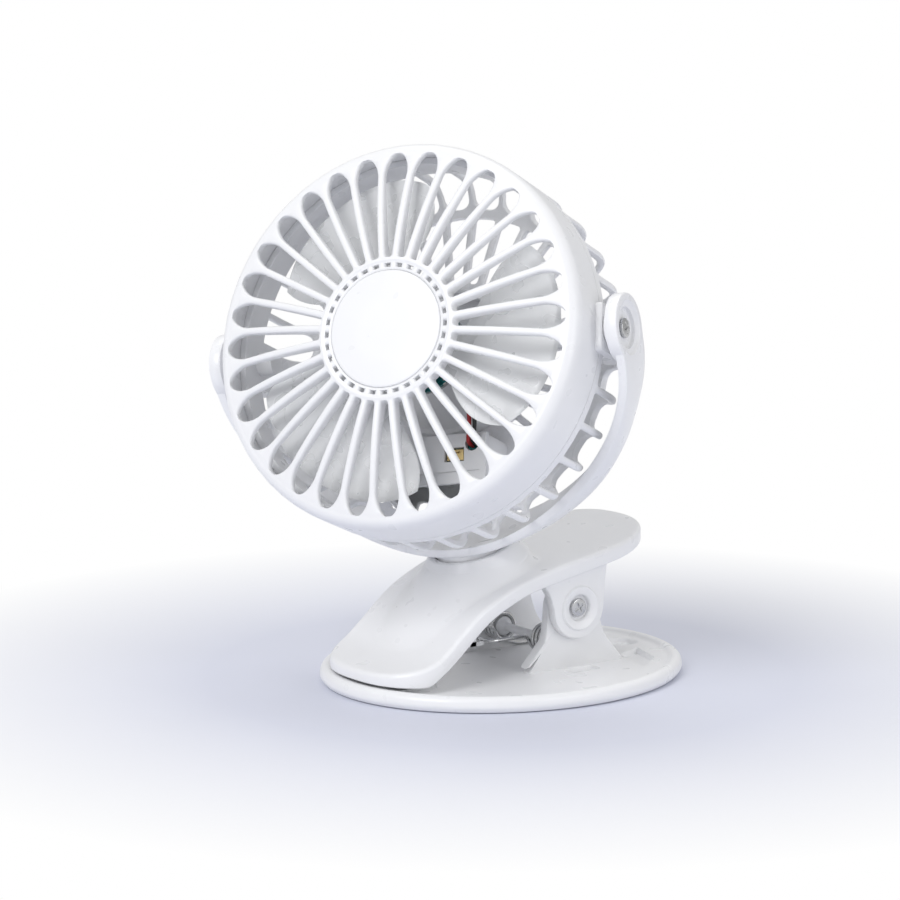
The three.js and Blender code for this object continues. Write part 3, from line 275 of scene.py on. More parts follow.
upright = [(0, 0, UPRIGHT_OUTER_X), (-0.7, 1, UPRIGHT_OUTER_X), (-0.2, 1, UPRIGHT_OUTER_X - 0.2),
           (0, 1, UPRIGHT_OUTER_X - 0.7), (0, 1, UPRIGHT_INNER_X + 0.7), (-0.2, 1, UPRIGHT_INNER_X + 0.2),
           (-0.7, 1, UPRIGHT_INNER_X), (5.4, 0, UPRIGHT_INNER_X), (3.6, 0, UPRIGHT_INNER_X - 0.5),
           (3.6, 0, UPRIGHT_INNER_X - 3.6), (3.2, 0, UPRIGHT_INNER_X - 4), (1.8, 0, UPRIGHT_INNER_X - 4),
           (1.8, 0, UPRIGHT_INNER_X - 2), (0, 0, UPRIGHT_INNER_X - 2)]
lugs = [lug((HINGE_Y, HINGE_Z), upright_reach(), upright, 240, side) for side in (1, -1)]
piece("base_moulding", [base_surface(), *lugs], gloss_white, "base", "white_plastic", "base_plate")

# ---------------------------------------------------------------- grip pads and spring pin
# Two thin rubber pads, one let into the base's floor and one under the jaw's tip, and the
# white pin between the uprights that the spring's coils hang on.


def rubbed(name, colour):
    """Soft rubber: cross ribs pressed into it, a matt skin and pale dust in its grain."""
    material, tree, shader, where = new_finish(name)
    ribs = node(tree, "TexWave", {"Vector": where, "Scale": 190}, bands_direction="Y")
    dust = noise(tree, where, 900, 4)
    skin = tinted(tree, ranged(tree, dust, 0, 1), colour, scaled(colour, 1.12))
    pressed = embossed(tree, ribs.outputs["Fac"], 2.5e-4, 0.7)
    fed(shader, skin, ranged(tree, dust, 0.72, 0.9), embossed(tree, dust, 2e-5, 0.5, pressed))
    return material


def dress_slots(finish, *nodes):
    """Assign a finish to the material slots of CAD nodes whose shape stays."""
    for node in nodes:
        for place in bpy.data.objects[node].material_slots:
            place.material = finish


dress_slots(rubbed("grip_rubber_ribbed", (0.62, 0.63, 0.64)), "base_grip_pad", "jaw_grip_pad")


def along_x(surface, y, z, side=1):
    """Lay a turned surface along X, at a height and depth."""
    points, faces = surface
    laid = np.stack([side * points[..., 2], y + points[..., 0], z + points[..., 1]], -1)
    return laid, faces


SPRING_Y, SPRING_Z = 7.4, 11.2
PIN_RADIUS, PIN_HALF, WAIST_RADIUS, WAIST_END = 2.8, 15.9, 1.2, 7.1
half_pin = [(WAIST_RADIUS, WAIST_END), (PIN_RADIUS, WAIST_END + 1.6), (PIN_RADIUS, PIN_HALF),
            (0.001, PIN_HALF)]
pin = softened([(r, -x) for r, x in half_pin[::-1]] + half_pin, 0.3)
pin_surface = along_x(turned(pin, 48), SPRING_Y, SPRING_Z)
piece("spring_pin_turned", [pin_surface], satin_white, "base", "white_plastic", "spring_pin")

# ---------------------------------------------------------------- clip spring
# A double torsion spring of bright drawn wire: a tail on the base, a coil, a leg, the
# bridge under the jaw's hook, and the same again on the other side.

SPRING_WIRE, COIL_RADIUS, COIL_X, COIL_TURNS, COIL_PITCH = 1.2, 3.75, 10.9, 3, 1.75
BRIDGE_Y, BRIDGE_Z, SPRING_TAIL_Y = -10.5, 12.0, 24.5


def drawn_metal(name, colour, gloss, scale):
    """Bright metal with a fine drawn grain, a mottled gloss and shallow pits."""
    material, tree, shader, where = new_finish(name)
    grain = noise(tree, where, scale, 5)
    spots = ranged(tree, noise(tree, where, 260, 4), 0, 1)
    rough = ranged(tree, grain, gloss * 0.75, gloss * 1.35)
    skin = tinted(tree, spots, colour, scaled(colour, 0.86))
    fed(shader, skin, rough, embossed(tree, grain, 1.2e-5, 0.4), Metallic=1)
    return material


def rounded_path(points, cut, step):
    """A path with its corners softened and its points spaced evenly."""
    line = softened(points, cut, 8)
    along = np.concatenate([[0], np.cumsum(np.linalg.norm(np.diff(line, axis=0), axis=1))])
    even = np.linspace(0, along[-1], int(along[-1] / step) + 2)
    return np.stack([np.interp(even, along, line[:, i]) for i in range(3)], 1)


def drawn_wire(path, radius, sides, lean=(1, 1, 1)):
    """A circle carried along a path, square to it, with small domed ends.

    Its first side is the path's direction crossed with a fixed lean that the path never
    runs along, so that the ring never flips.
    """
    p = np.asarray(path, float)
    ahead = np.gradient(p, axis=0)
    ahead /= np.linalg.norm(ahead, axis=1, keepdims=True)
    first = np.cross(ahead, np.asarray(lean, float))
    first /= np.linalg.norm(first, axis=1, keepdims=True)
    second = np.cross(ahead, first)
    size = np.full(len(p), radius)
    dome = radius * np.array([0.0001, 0.6, 0.9])
    back = p[:1] - ahead[:1] * radius * np.array([[0.45], [0.35], [0.15]])
    front = p[-1:] + ahead[-1:] * radius * np.array([[0.15], [0.35], [0.45]])
    line = np.vstack([back, p, front])
    size = np.concatenate([dome, size, dome[::-1]])
    first = np.vstack([first[:1].repeat(3, 0), first, first[-1:].repeat(3, 0)])
    second = np.vstack([second[:1].repeat(3, 0), second, second[-1:].repeat(3, 0)])
    a = np.linspace(0, 2 * np.pi, sides, endpoint=False)[None, :, None]
    ring = first[:, None] * np.cos(a) + second[:, None] * np.sin(a)
    return line[:, None] + size[:, None, None] * ring, grid_faces(len(line), sides, close_columns=True)


def spring_line():
    """Half of the spring and its mirror image: a helix between a straight tail and leg."""
    tail_z = BASE_FLOOR + SPRING_WIRE / 2 + 0.3
    outer_x = COIL_X + COIL_TURNS * COIL_PITCH / 2
    leg_x = outer_x - COIL_TURNS * COIL_PITCH
    a = np.radians(np.linspace(-86, -168 - 360 * COIL_TURNS, 46 * COIL_TURNS))
    x = np.linspace(outer_x, leg_x, len(a))
    helix = np.stack([x, SPRING_Y + COIL_RADIUS * np.cos(a), SPRING_Z + COIL_RADIUS * np.sin(a)], 1)
    tail = [(outer_x, SPRING_TAIL_Y, tail_z), (outer_x, SPRING_Y + 9, tail_z),
            (outer_x, SPRING_Y + 3, tail_z + 1.6)]
    leg = [(leg_x, SPRING_Y - COIL_RADIUS - 1.6, BRIDGE_Z), (leg_x, BRIDGE_Y + 1.9, BRIDGE_Z)]
    turn = [(leg_x - 0.6, BRIDGE_Y + 0.6, BRIDGE_Z), (leg_x - 1.9, BRIDGE_Y, BRIDGE_Z)]
    half = np.vstack([tail, helix, leg, turn])
    return np.vstack([half, half[::-1] * (-1, 1, 1)])


bright_wire = drawn_metal("bright_spring_wire", (0.66, 0.665, 0.67), 0.17, 700)
spring_surface = drawn_wire(rounded_path(spring_line(), 1.0, 0.22), SPRING_WIRE / 2, 20)
piece("clip_spring_wound", [spring_surface], bright_wire, "base", "spring_steel", "clip_spring")

# ---------------------------------------------------------------- clip jaw
# The upper lever: a thick S-shaped paddle with soft edges, a flared round seat for the
# yoke, an ear on each side that turns on the hinge, and a hook for the spring beneath.

JAW_HALF, JAW_TIP, JAW_TAIL, JAW_THICK, JAW_FLOOR = 23.0, -52.5, 42.8, 4.2, 5.3
TIP_ROUND, TAIL_ROUND = 17, 21
JAW_SPINE = [(JAW_TIP, 8.4), (JAW_TIP + 7, 9.9), (-39.5, 12.1), (-34.5, 15.8), (-29, 20.6), (-23.5, 24.9),
             (-17, 28.4), (-9, 31.6), (1, 33.9), (12, 36.0), (24, 38.3), (34, 40.6), (JAW_TAIL, 42.8)]
MOUNT_Y, MOUNT_Z, MOUNT_SLOPE = -10.6, 36.7, math.radians(16.5)
SEAT_FLARE = [(0, 0), (11.4, 0), (12.5, 0.6), (13.3, 0.3), (15.6, -2.5), (18.6, -6.3), (23, -9.8), (40, -24)]
SEAT_RIM = [(10.8, -3.5), (10.8, 1.7), (12.5, 1.7), (15.8, -2.9), (15.8, -3.5), (10.8, -3.5)]
EAR_RADIUS = 9.0


def spline(points, per=12):
    """A Catmull-Rom curve through points, of each stretch's four neighbours."""
    p = np.asarray(points, float)
    p = np.vstack([2 * p[0] - p[1], p, 2 * p[-1] - p[-2]])
    s = np.linspace(0, 1, per, endpoint=False)[None, :, None]
    a, b, c, d = p[:-3, None], p[1:-2, None], p[2:-1, None], p[3:, None]
    curve = b + 0.5 * s * (c - a + s * (2 * a - 5 * b + 4 * c - d + s * (3 * (b - c) + d - a)))
    return np.vstack([curve.reshape(-1, p.shape[1]), p[-2:-1]])


def jaw_plan(steps=26):
    """The paddle's outline from above: a blunt round tip, straight sides, a round tail."""
    a = np.radians(np.linspace(0, 90, steps))
    tip = np.stack([JAW_HALF * np.sin(a) ** 0.8, JAW_TIP + TIP_ROUND - TIP_ROUND * np.cos(a) ** 0.9], 1)
    tail = np.stack([JAW_HALF * np.sin(a) ** 0.85, JAW_TAIL - TAIL_ROUND + TAIL_ROUND * np.cos(a) ** 0.9], 1)
    tail = tail[::-1]
    side = spaced(np.vstack([tip[-1:], tail[:1]]), 1.4)[1:-1]
    half = np.vstack([tip, side, tail])
    return np.vstack([half, (half * (-1, 1))[-2:0:-1]])


jaw_top = spline(JAW_SPINE)
jaw_run = np.gradient(jaw_top, axis=0)
jaw_run /= np.linalg.norm(jaw_run, axis=1, keepdims=True)
jaw_under = jaw_top + JAW_THICK * np.stack([jaw_run[:, 1], -jaw_run[:, 0]], 1)
under_tip = [(JAW_TIP - 5, JAW_FLOOR), (JAW_TIP + 10.5, JAW_FLOOR), (JAW_TIP + 12.2, JAW_FLOOR + 0.7),
             (JAW_TIP + 14.0, JAW_FLOOR + 2.2)]
jaw_under = softened(np.vstack([under_tip, jaw_under[jaw_under[:, 0] > JAW_TIP + 16]]), 1.2)


def seat_height(x, y):
    """The height of the flared seat above a point: a turned profile about the leaning axis."""
    plane = MOUNT_Z + (y - MOUNT_Y) * math.tan(MOUNT_SLOPE)
    reach = np.hypot(x, (y - MOUNT_Y) / math.cos(MOUNT_SLOPE))
    r, z = np.asarray(SEAT_FLARE).T
    return plane + np.interp(reach, r, z) / math.cos(MOUNT_SLOPE)


def jaw_surface():
    """Rings that shrink from the plan's outline to its middle line, on top and beneath.

    Each ring's height is the spine's, less a quarter circle's fall within the soft edge,
    and the seat's where that is higher, with a smooth step between the two.
    """
    plan = jaw_plan()
    middle_y = np.clip(plan[:, 1], JAW_TIP + TIP_ROUND, JAW_TAIL - TAIL_ROUND)
    middle = np.stack([np.zeros(len(plan)), middle_y], 1)
    reach = np.linalg.norm(plan - middle, axis=1)[:, None]

    def rings(insets):
        share = np.clip(np.asarray(insets)[None, :] / reach, 0, 1)
        ring = plan[:, None] + (middle - plan)[:, None] * share[..., None]
        return ring[..., 0].T, ring[..., 1].T

    soft = 1.3
    steps = np.concatenate([[0, 0.05, 0.15, 0.32, 0.55, 0.85, 1.3], np.linspace(1.9, 24, 42)])
    x, y = rings(steps)
    z = np.interp(y, *jaw_top.T)
    seat = seat_height(x, y)
    blend = 0.8
    higher, apart = np.maximum(z, seat), np.abs(seat - z)
    z = np.where(apart < blend, higher + (blend - apart) ** 2 / (4 * blend), higher)
    inset = np.minimum(steps, soft)[:, None]
    fall = soft - np.sqrt(np.maximum(soft**2 - (soft - inset) ** 2, 0))
    above = np.stack([x, y, z - fall], -1)
    low_soft = 0.5
    low_steps = np.concatenate([[0, 0.08, 0.25, 0.5], np.linspace(2, 24, 14)])
    x, y = rings(low_steps)
    z = np.interp(y, *jaw_under.T)
    inset = np.minimum(low_steps, low_soft)[:, None]
    rise = low_soft - np.sqrt(np.maximum(low_soft**2 - (low_soft - inset) ** 2, 0))
    below = np.stack([x, y, z + rise], -1)
    points = np.concatenate([above[::-1], below])
    return points, grid_faces(len(points), len(plan), close_columns=True)


def ear_reach():
    """An ear from the side: round about the hinge, and spreading up into the lever."""
    y, z = HINGE_Y, HINGE_Z
    a = np.radians(np.linspace(-180, 0, 37))
    low = np.stack([y + EAR_RADIUS * np.cos(a), z + EAR_RADIUS * np.sin(a)], 1)
    top = [(y + 9.6, 29), (y + 10.2, 34.2), (y - 13.5, 30.4), (y - 10.4, 25.6)]
    return star_reach(np.vstack([low, top]), (y, z), 1.0)


def drawn_prism(outline, x0, x1):
    """A solid pushed along X from an outline in Y and Z, as a run of rings closed by fans."""
    line = np.asarray(outline, float)
    middle = line.mean(0)
    rings = [(x0, middle), (x0, line), (x1, line), (x1, middle)]
    rows = [np.column_stack([np.full(len(line), x), np.broadcast_to(yz, line.shape)]) for x, yz in rings]
    return np.stack(rows), grid_faces(4, len(line), close_columns=True)


def in_mount(surface):
    """Set a surface turned about the swivel axis, with its zero on the jaw's seat, in place."""
    points, faces = surface
    x, y, z = points[..., 0], points[..., 1], points[..., 2]
    lean_y, lean_z = math.cos(MOUNT_SLOPE), math.sin(MOUNT_SLOPE)
    return np.stack([x, MOUNT_Y + y * lean_y - z * lean_z, MOUNT_Z + y * lean_z + z * lean_y], -1), faces


ear = [(0, 0, 19.8), (3.7, 0, 19.8), (3.8, 0, 20.9), (4.1, 0, 21.3), (5.8, 0, 21.75), (6.1, 0, 21.8),
       (6.35, 0, 21.6), (6.5, 0, 21.1), (6.8, 0, 21.0), (-0.8, 1, 21.0), (-0.25, 1, 20.8), (0, 1, 20.2),
       (0, 1, 18.4), (-0.3, 1, 18.0), (0, 0, 18.0)]
ears = [lug((HINGE_Y, HINGE_Z), ear_reach(), ear, 192, side) for side in (1, -1)]
hook_y, hook_z = BRIDGE_Y, BRIDGE_Z
hook = [(hook_y - 5.0, hook_z + 13.8), (hook_y - 4.4, hook_z + 7.6), (hook_y - 0.9, hook_z + 2.6),
        (hook_y - 0.9, hook_z - 0.9), (hook_y - 0.9, hook_z - 2.2), (hook_y - 3.4, hook_z - 2.2),
        (hook_y - 10.5, hook_z + 10.6)]
ledge = [(hook_y - 3.0, hook_z - 2.2), (hook_y - 3.0, hook_z - 0.9), (hook_y + 1.9, hook_z - 0.9),
         (hook_y + 1.9, hook_z - 2.2)]
seat_rim = in_mount(turned(softened(SEAT_RIM, 0.5), 160))
piece("jaw_moulding", [jaw_surface(), seat_rim, *ears, drawn_prism(hook, -3, 3), drawn_prism(ledge, -3, 3)],
      gloss_white, "jaw", "white_plastic", "jaw_lever", crease=42)

# ---------------------------------------------------------------- hinge screws
# Two zinc-plated cross-head screws that pin the ears to the uprights; each head sits in
# the dished ring of its ear.

zinc = drawn_metal("zinc_plated_steel", (0.60, 0.605, 0.615), 0.27, 900)


def cross_screw(radius, height, length, shank, cross=0.7, sides=120):
    """A pan head with its outer face at 0, a cross pressed into it, and a plain shank.

    The face is a shallow dome; where a point lies within half the cross's width of
    either arm, and within its reach, the face drops by the cross's depth.
    """
    cross_r, rest_r = np.linspace(0.001, radius * 0.62, 34), np.linspace(radius * 0.66, radius * 0.86, 5)
    face_r = np.concatenate([cross_r, rest_r])
    face = np.stack([face_r, -0.22 * height * (face_r / radius) ** 2], 1)
    edge = softened([(radius * 0.86, -0.16 * height), (radius * 0.97, -0.3 * height), (radius, -height),
                     (shank, -height), (shank, -length), (0.001, -length - 0.5)], 0.22)
    points, faces = turned(np.vstack([face, edge[1:]]), sides)
    x, y, z = points[..., 0], points[..., 1], points[..., 2]
    reach, half, soft = radius * 0.58, cross / 2, 0.12
    arm = np.minimum(half - np.abs(x), reach - np.abs(y))
    other = np.minimum(half - np.abs(y), reach - np.abs(x))
    into = np.clip(np.maximum(arm, other) / soft + 0.5, 0, 1)
    slope = 1 - 0.45 * np.hypot(x, y) / reach
    points[..., 2] = z - np.where(z > -0.5 * height, into * slope * 0.62 * height, 0)
    return points, faces


def spun(surface, angle, lift):
    """Turn a surface about Z by an angle, and lift it."""
    points, faces = surface
    x, y, z = points[..., 0], points[..., 1], points[..., 2]
    across = x * math.cos(angle) - y * math.sin(angle)
    along = x * math.sin(angle) + y * math.cos(angle)
    return np.stack([across, along, z + lift], -1), faces


HINGE_HEAD_X = 20.9
for word, side in (("right", 1), ("left", -1)):
    screw = spun(cross_screw(2.7, 0.8, 9.8, 1.4, 0.62), 0.5, HINGE_HEAD_X)
    piece(f"hinge_screw_{word}_pressed", [along_x(screw, HINGE_Y, HINGE_Z, side)], zinc, "jaw",
          "zinc_steel", f"hinge_screw_{word}")

# ---------------------------------------------------------------- yoke
# The U-shaped arm: a band whose edges curl in towards the head, a slim slit down the
# middle of its inner face, a round foot on the jaw's seat, and dished round ends.

PIVOT = np.array([0.0, -28.379, 96.722])
TILT = np.array([0.857167, 0.493829, 0.146279])
ACROSS = np.array([-0.515038, 0.821869, 0.243449])
SWIVEL = np.array([0.0, -0.284015, 0.958820])
YOKE_OUTER, YOKE_WALL, YOKE_BOSS, YOKE_DROP, YOKE_BOTTOM = 62.8, 2.6, 3.6, 4.0, 60.8
END_RADIUS, ARM_HALF, WAIST_HALF, FOOT_HALF, FOOT_RADIUS = 9.6, 8.4, 7.0, 10.5, 10.4
SHOULDER_SAG, FOOT_SAG, YOKE_FOOT, STUB_RADIUS, STUB_END = 2.6, 1.1, -62.3, 4.0, -71.4
SLIT_MIDDLE, SLIT_HALF_ANGLE, SLIT_DEPTH = 46.0, 8.0, 0.8


def in_yoke(surface):
    """Set a surface of the yoke's own frame, with its origin on the tilt axis, in place."""
    points, faces = surface
    x, y, z = points[..., :1], points[..., 1:2], points[..., 2:]
    return PIVOT + x * TILT + y * ACROSS + z * SWIVEL, faces


def band_half(a):
    """Half of the band's width at an angle: wide at the ends, a waist, and a wide foot."""
    lean = np.sin(a)
    return WAIST_HALF + (ARM_HALF - WAIST_HALF) * (1 - lean) ** 3 + (FOOT_HALF - WAIST_HALF) * lean**6


def band_surface():
    """The band's cross-section, a flat loop with soft corners, carried down one arm and up
    the other along half an ellipse; its edges are drawn inwards by the square of their
    distance from the middle. Each end is cut round to meet the disc of the arm's end.
    """
    w = YOKE_WALL
    loop = [(-1, 0.45, 0, 0), (-0.66, 0, 0, 0), (-0.33, 0, 0, 0), (0, 0, 0, 0), (0.33, 0, 0, 0),
            (0.66, 0, 0, 0), (1, -0.45, 0, 0), (1, -0.13, 0.13, 0), (1, 0, 0.45, 0), (1, 0, w - 0.45, 0),
            (1, -0.13, w - 0.13, 0), (1, -0.45, w, 0), (0.66, 0, w, 0), (0.33, 0, w, 0), (0, 0.62, w, 0),
            (0, 0.45, w, 1), (0, 0.4, w, 1), (0, -0.4, w, 1), (0, -0.45, w, 1), (0, -0.62, w, 0),
            (-0.33, 0, w, 0), (-0.66, 0, w, 0), (-1, 0.45, w, 0), (-1, 0.13, w - 0.13, 0),
            (-1, 0, w - 0.45, 0), (-1, 0, 0.45, 0), (-1, 0.13, 0.13, 0)]
    share, extra, depth, cut = np.asarray(loop, float).T
    fall = YOKE_BOTTOM - YOKE_DROP
    run = np.linspace(-1, 1, 181)[:, None]
    run = np.sign(run) * np.abs(run) ** 0.9
    guess_y = share * ARM_HALF + extra
    start = np.arcsin((np.sqrt(np.maximum(END_RADIUS**2 - guess_y**2, 0)) - YOKE_DROP) / fall)
    a = np.pi / 2 + run * (np.pi / 2 - start)
    half = band_half(a)
    y = share * half + extra
    normal_x, normal_z = np.cos(a) / YOKE_OUTER, -np.sin(a) / fall
    length = np.hypot(normal_x, normal_z)
    sag = SHOULDER_SAG * np.sin(2 * a) ** 2 + FOOT_SAG * np.sin(a) ** 4
    degrees = np.degrees(a)
    near = np.minimum(np.abs(degrees - SLIT_MIDDLE), np.abs(degrees - (180 - SLIT_MIDDLE)))
    slit = np.clip((SLIT_HALF_ANGLE - near) / 0.6, 0, 1) * SLIT_DEPTH
    inwards = depth - cut * slit + sag * (y / half) ** 2
    x = YOKE_OUTER * np.cos(a) - normal_x / length * inwards
    z = -YOKE_DROP - fall * np.sin(a) - normal_z / length * inwards
    points = np.stack([x, y, z], -1)
    return points, grid_faces(*x.shape, close_columns=True)


def end_surface(side):
    """An arm's round end: a recess for the screw, a dished ring, and a soft rim that fades
    out below, where the disc runs into the band.
    """
    a = np.linspace(0, 2 * np.pi, 160, endpoint=False)
    r = np.array([0.001, 5.5, 5.7, 5.8, 7.0, 7.3, 7.6, 8.4, 9.1, 9.45, 9.6, 9.6, 9.3, 0.001])
    x = np.array([-2, -2, -1.8, -0.85, -0.6, -0.25, 0, 0, 0, -0.15, -0.5, -YOKE_BOSS + 0.4, -YOKE_BOSS,
                  -YOKE_BOSS])
    down = np.clip((-np.sin(a) - 0.42) / 0.12, 0, 1)
    soft = np.array([0, 0, 0, 0, 0, 0, 0, 0, 0, -0.15, -0.5, 0, 0, 0])
    y = r[:, None] * np.cos(a)
    z = r[:, None] * np.sin(a)
    under = np.clip((-z - YOKE_DROP) / (YOKE_BOTTOM - YOKE_DROP), 0, 1)
    bend = YOKE_OUTER * (1 - np.sqrt(1 - under**2))
    across = YOKE_OUTER + x[:, None] - soft[:, None] * down - bend
    return np.stack([side * across, y, z], -1), grid_faces(len(r), len(a), close_columns=True)


foot = softened([(0.001, -YOKE_BOTTOM + 2), (FOOT_RADIUS - 0.3, -YOKE_BOTTOM + 2), (FOOT_RADIUS, YOKE_FOOT),
                 (0.001, YOKE_FOOT)], 0.4)
stub = softened([(0.001, -60), (STUB_RADIUS, -60), (STUB_RADIUS, STUB_END), (0.001, STUB_END)], 0.3)
yoke_parts = [band_surface(), end_surface(1), end_surface(-1), turned(foot, 120), turned(stub, 48)]
piece("yoke_moulding", [in_yoke(part) for part in yoke_parts], gloss_white, "yoke", "white_plastic", "yoke")
dress_slots(zinc, "swivel_washer", "swivel_screw")

# ---------------------------------------------------------------- rear grille
# The back half of the head: a deep shell with windows round its side and back, a pivot
# pad on each side, the motor's post and dish, and the walls of the control box.

UP = np.array([-0.298352, 0.244584, 0.922586])
FORWARD = np.array([0.419822, -0.834453, 0.356984])
HEAD_RADIUS, HEAD_WALL, REAR_Z, RIBS, WINDOW_START = 55.0, 2.2, -24.0, 32, 2.8
PITCH = 2 * np.pi / RIBS


def in_head(surface):
    """Set a surface of the head's own frame, X on the tilt axis and Z forwards, in place."""
    points, faces = surface
    x, y, z = points[..., :1], points[..., 1:2], points[..., 2:]
    return PIVOT + x * TILT + y * UP + z * FORWARD, faces


def pierced(outer, inner, half, soft=0.5):
    """A turned wall between two profiles, with an opening on each of its sector lines.

    half gives each opening's half width, for each station of the profiles and each
    sector. A rib runs from one opening to the next; its outer corners are rounded by
    drawing the columns beside an opening inwards, and its sides are closed by walls.
    """
    count, sectors = half.shape
    inset = np.array([0, 0.25, 0.62])
    drawn = np.array([1.0, 0.3, 0.0]) * soft
    back_drawn = np.array([0.3, 0.05, 0.0])
    start = np.arange(sectors) * 2 * np.pi / sectors

    def wall(line, depths, sign):
        r = np.maximum(line[:, :1], 1e-3)
        left = start + np.arcsin(np.minimum(half / r, 0.9))
        right = start + 2 * np.pi / sectors - np.arcsin(np.minimum(np.roll(half, -1, 1) / r, 0.9))
        width = right - left
        step = np.minimum(inset[None, None] / r[..., None], width[..., None] * 0.4)
        centre = ((left + right) / 2)[..., None]
        a = np.concatenate([left[..., None] + step, centre, (right[..., None] - step)[..., ::-1]], -1)
        open_left = np.clip(half / 0.5, 0, 1)[..., None] * depths
        open_right = np.clip(np.roll(half, -1, 1) / 0.5, 0, 1)[..., None] * depths
        deep = np.concatenate([open_left, np.zeros_like(open_left[..., :1]), open_right[..., ::-1]], -1)
        away = (inner - outer) / np.linalg.norm(inner - outer, axis=1)[:, None]
        rr = r[..., None] + sign * deep * away[:, 0][:, None, None]
        zz = line[:, 1][:, None, None] + sign * deep * away[:, 1][:, None, None]
        return np.stack([rr * np.cos(a), rr * np.sin(a), zz + 0 * a], -1)

    front, back = wall(outer, drawn, 1), wall(inner, back_drawn, -1)
    columns = front.shape[2]
    number = np.arange(front[..., 0].size).reshape(front.shape[:3])
    far = number + number.size
    i = np.arange(count - 1)

    def strip(a, b, j, k):
        return np.stack([a[i][:, :, j], a[i + 1][:, :, j], b[i + 1][:, :, k], b[i][:, :, k]], -1)

    faces = []
    for j in range(columns - 1):
        faces += [strip(number, number, j, j + 1).reshape(-1, 4), strip(far, far, j + 1, j).reshape(-1, 4)]
    opened = (half[:-1] > 0) | (half[1:] > 0)
    faces.append(strip(far, number, 0, 0)[opened])
    faces.append(strip(number, far, columns - 1, columns - 1)[np.roll(opened, -1, 1)])
    for near_edge, far_edge in ((number[0], far[0]), (number[-1], far[-1])):
        ends = [near_edge[:, :-1], near_edge[:, 1:], far_edge[:, 1:], far_edge[:, :-1]]
        faces.append(np.stack(ends, -1).reshape(-1, 4))
    return np.concatenate([front.reshape(-1, 3), back.reshape(-1, 3)]), np.concatenate(faces)


def rounded_ends(d, length, wide, corner, far_corner):
    """An opening's half width at a distance from its start, with rounded corners."""
    near = np.minimum(d, length - d)
    c = np.minimum(np.where(d < length / 2, corner, far_corner), wide)
    k = np.clip(c - near, 0, c)
    return np.where(near < -1e-6, 0, wide - c + np.sqrt(np.maximum(c**2 - k**2, 0)))


def rear_shell():
    """The shell's profile from its front edge over the shoulder to the middle of its back,
    pierced by the side windows and the back windows.
    """
    corners = [(HEAD_RADIUS, 1.46), (HEAD_RADIUS, -14.5), (53.3, -19.8), (46.5, REAR_Z), (0.01, REAR_Z)]
    line = spaced(softened(corners, 3.0, 8), 0.9)
    ends = [2.8, 2.82, 3.0, 3.3, 3.8, 4.3]
    along = np.concatenate([[0], np.cumsum(np.linalg.norm(np.diff(line, axis=0), axis=1))])
    back = np.interp(-np.array([47.2, 44.2, 39.8, 24.5]), -line[:, 0] + 1e-9 * np.arange(len(line)), along)
    marks = np.concatenate([e + np.array(s) * np.array([-0.02, 0, 0.15, 0.4, 0.8, 1.3]) for e, s in
                            ((WINDOW_START, 1), (back[0], -1), (back[1], 1), (back[2], 1), (back[3], -1))])
    stations = np.unique(np.concatenate([along, ends, marks]))
    outer = np.stack([np.interp(stations, along, line[:, i]) for i in range(2)], 1)
    run = np.gradient(outer, stations, axis=0)
    run /= np.linalg.norm(run, axis=1, keepdims=True)
    inner = outer + HEAD_WALL * np.stack([run[:, 1], -run[:, 0]], 1)
    inner[:, 0] = np.maximum(inner[:, 0], 0.01)
    s, r = stations[:, None], outer[:, :1]
    angle = np.arange(RIBS) * 360 / RIBS
    low = np.abs((angle - 270 + 180) % 360 - 180) < 34
    pivot = np.isin(np.arange(RIBS), (0, RIBS // 2))
    side_wide = np.minimum(4.35, r * PITCH / 2 - 0.85)
    side = rounded_ends(s - WINDOW_START, back[0] - WINDOW_START, side_wide, 1.6, 3.4) * ~pivot
    wide = r * PITCH / 2 - 1.0
    first, last = back[1], np.where(low, back[2], back[3])
    rear = rounded_ends(s - first, last - first, wide, 1.3, 1.3)
    return pierced(outer, inner, np.maximum(side, rear), 0.5)


def rectangle_reach(x0, x1, y0, y1, cut=1.4):
    """The reach of a rounded rectangle about its middle."""
    middle = ((x0 + x1) / 2, (y0 + y1) / 2)
    return middle, star_reach([(x0, y0), (x1, y0), (x1, y1), (x0, y1)], middle, cut)


def along_head_z(surface):
    """Turn a plate made across X so that it lies across the head's Z."""
    points, faces = surface
    return np.stack([points[..., 1], points[..., 2], points[..., 0]], -1), faces


middle, reach = rectangle_reach(-6.9, 6.9, -12.0, 4.9)
pad = [(0, 0, 56.8), (-0.9, 1, 56.8), (-0.25, 1, 56.55), (0, 1, 56.0), (0, 1, 51.3), (0, 0, 51.3)]
pads = [lug(middle, reach, pad, 96, side) for side in (1, -1)]
boss = softened([(0.001, 51.6), (3.4, 51.6), (3.4, 46), (0.001, 46)], 0.3)
bosses = [along_x(turned(boss, 48), 0, 0, side) for side in (1, -1)]
lip = softened([(52.77, 0.9), (52.77, 9.2), (50.9, 9.2), (50.9, -0.4), (52.6, -1.6), (52.77, 0.9)], 0.25)
dish = softened([(20.0, -23), (20.0, -15), (21.5, -15), (21.5, -23)], 0.35)
post = softened([(0.001, -2.9), (5.2, -2.9), (5.2, -22.5), (7.5, -23)], 0.3)
box_middle, box_reach = rectangle_reach(-17.0, 17.0, -37.6, -23.6, 1.6)
box_wall = [(0, 1, -23.5), (0, 1, -9.7), (-0.25, 1, -9.4), (-1.35, 1, -9.4), (-1.6, 1, -9.7),
            (-1.6, 1, -23.5)]
rear_parts = [rear_shell(), *pads, *bosses, turned(lip, 160), turned(dish, 96), turned(post, 64),
              along_head_z(lug(box_middle, box_reach, box_wall, 144))]
rear_piece = piece("rear_grille_moulding", [in_head(part) for part in rear_parts], gloss_white, "head",
                   "white_plastic", "rear_grille", crease=40)


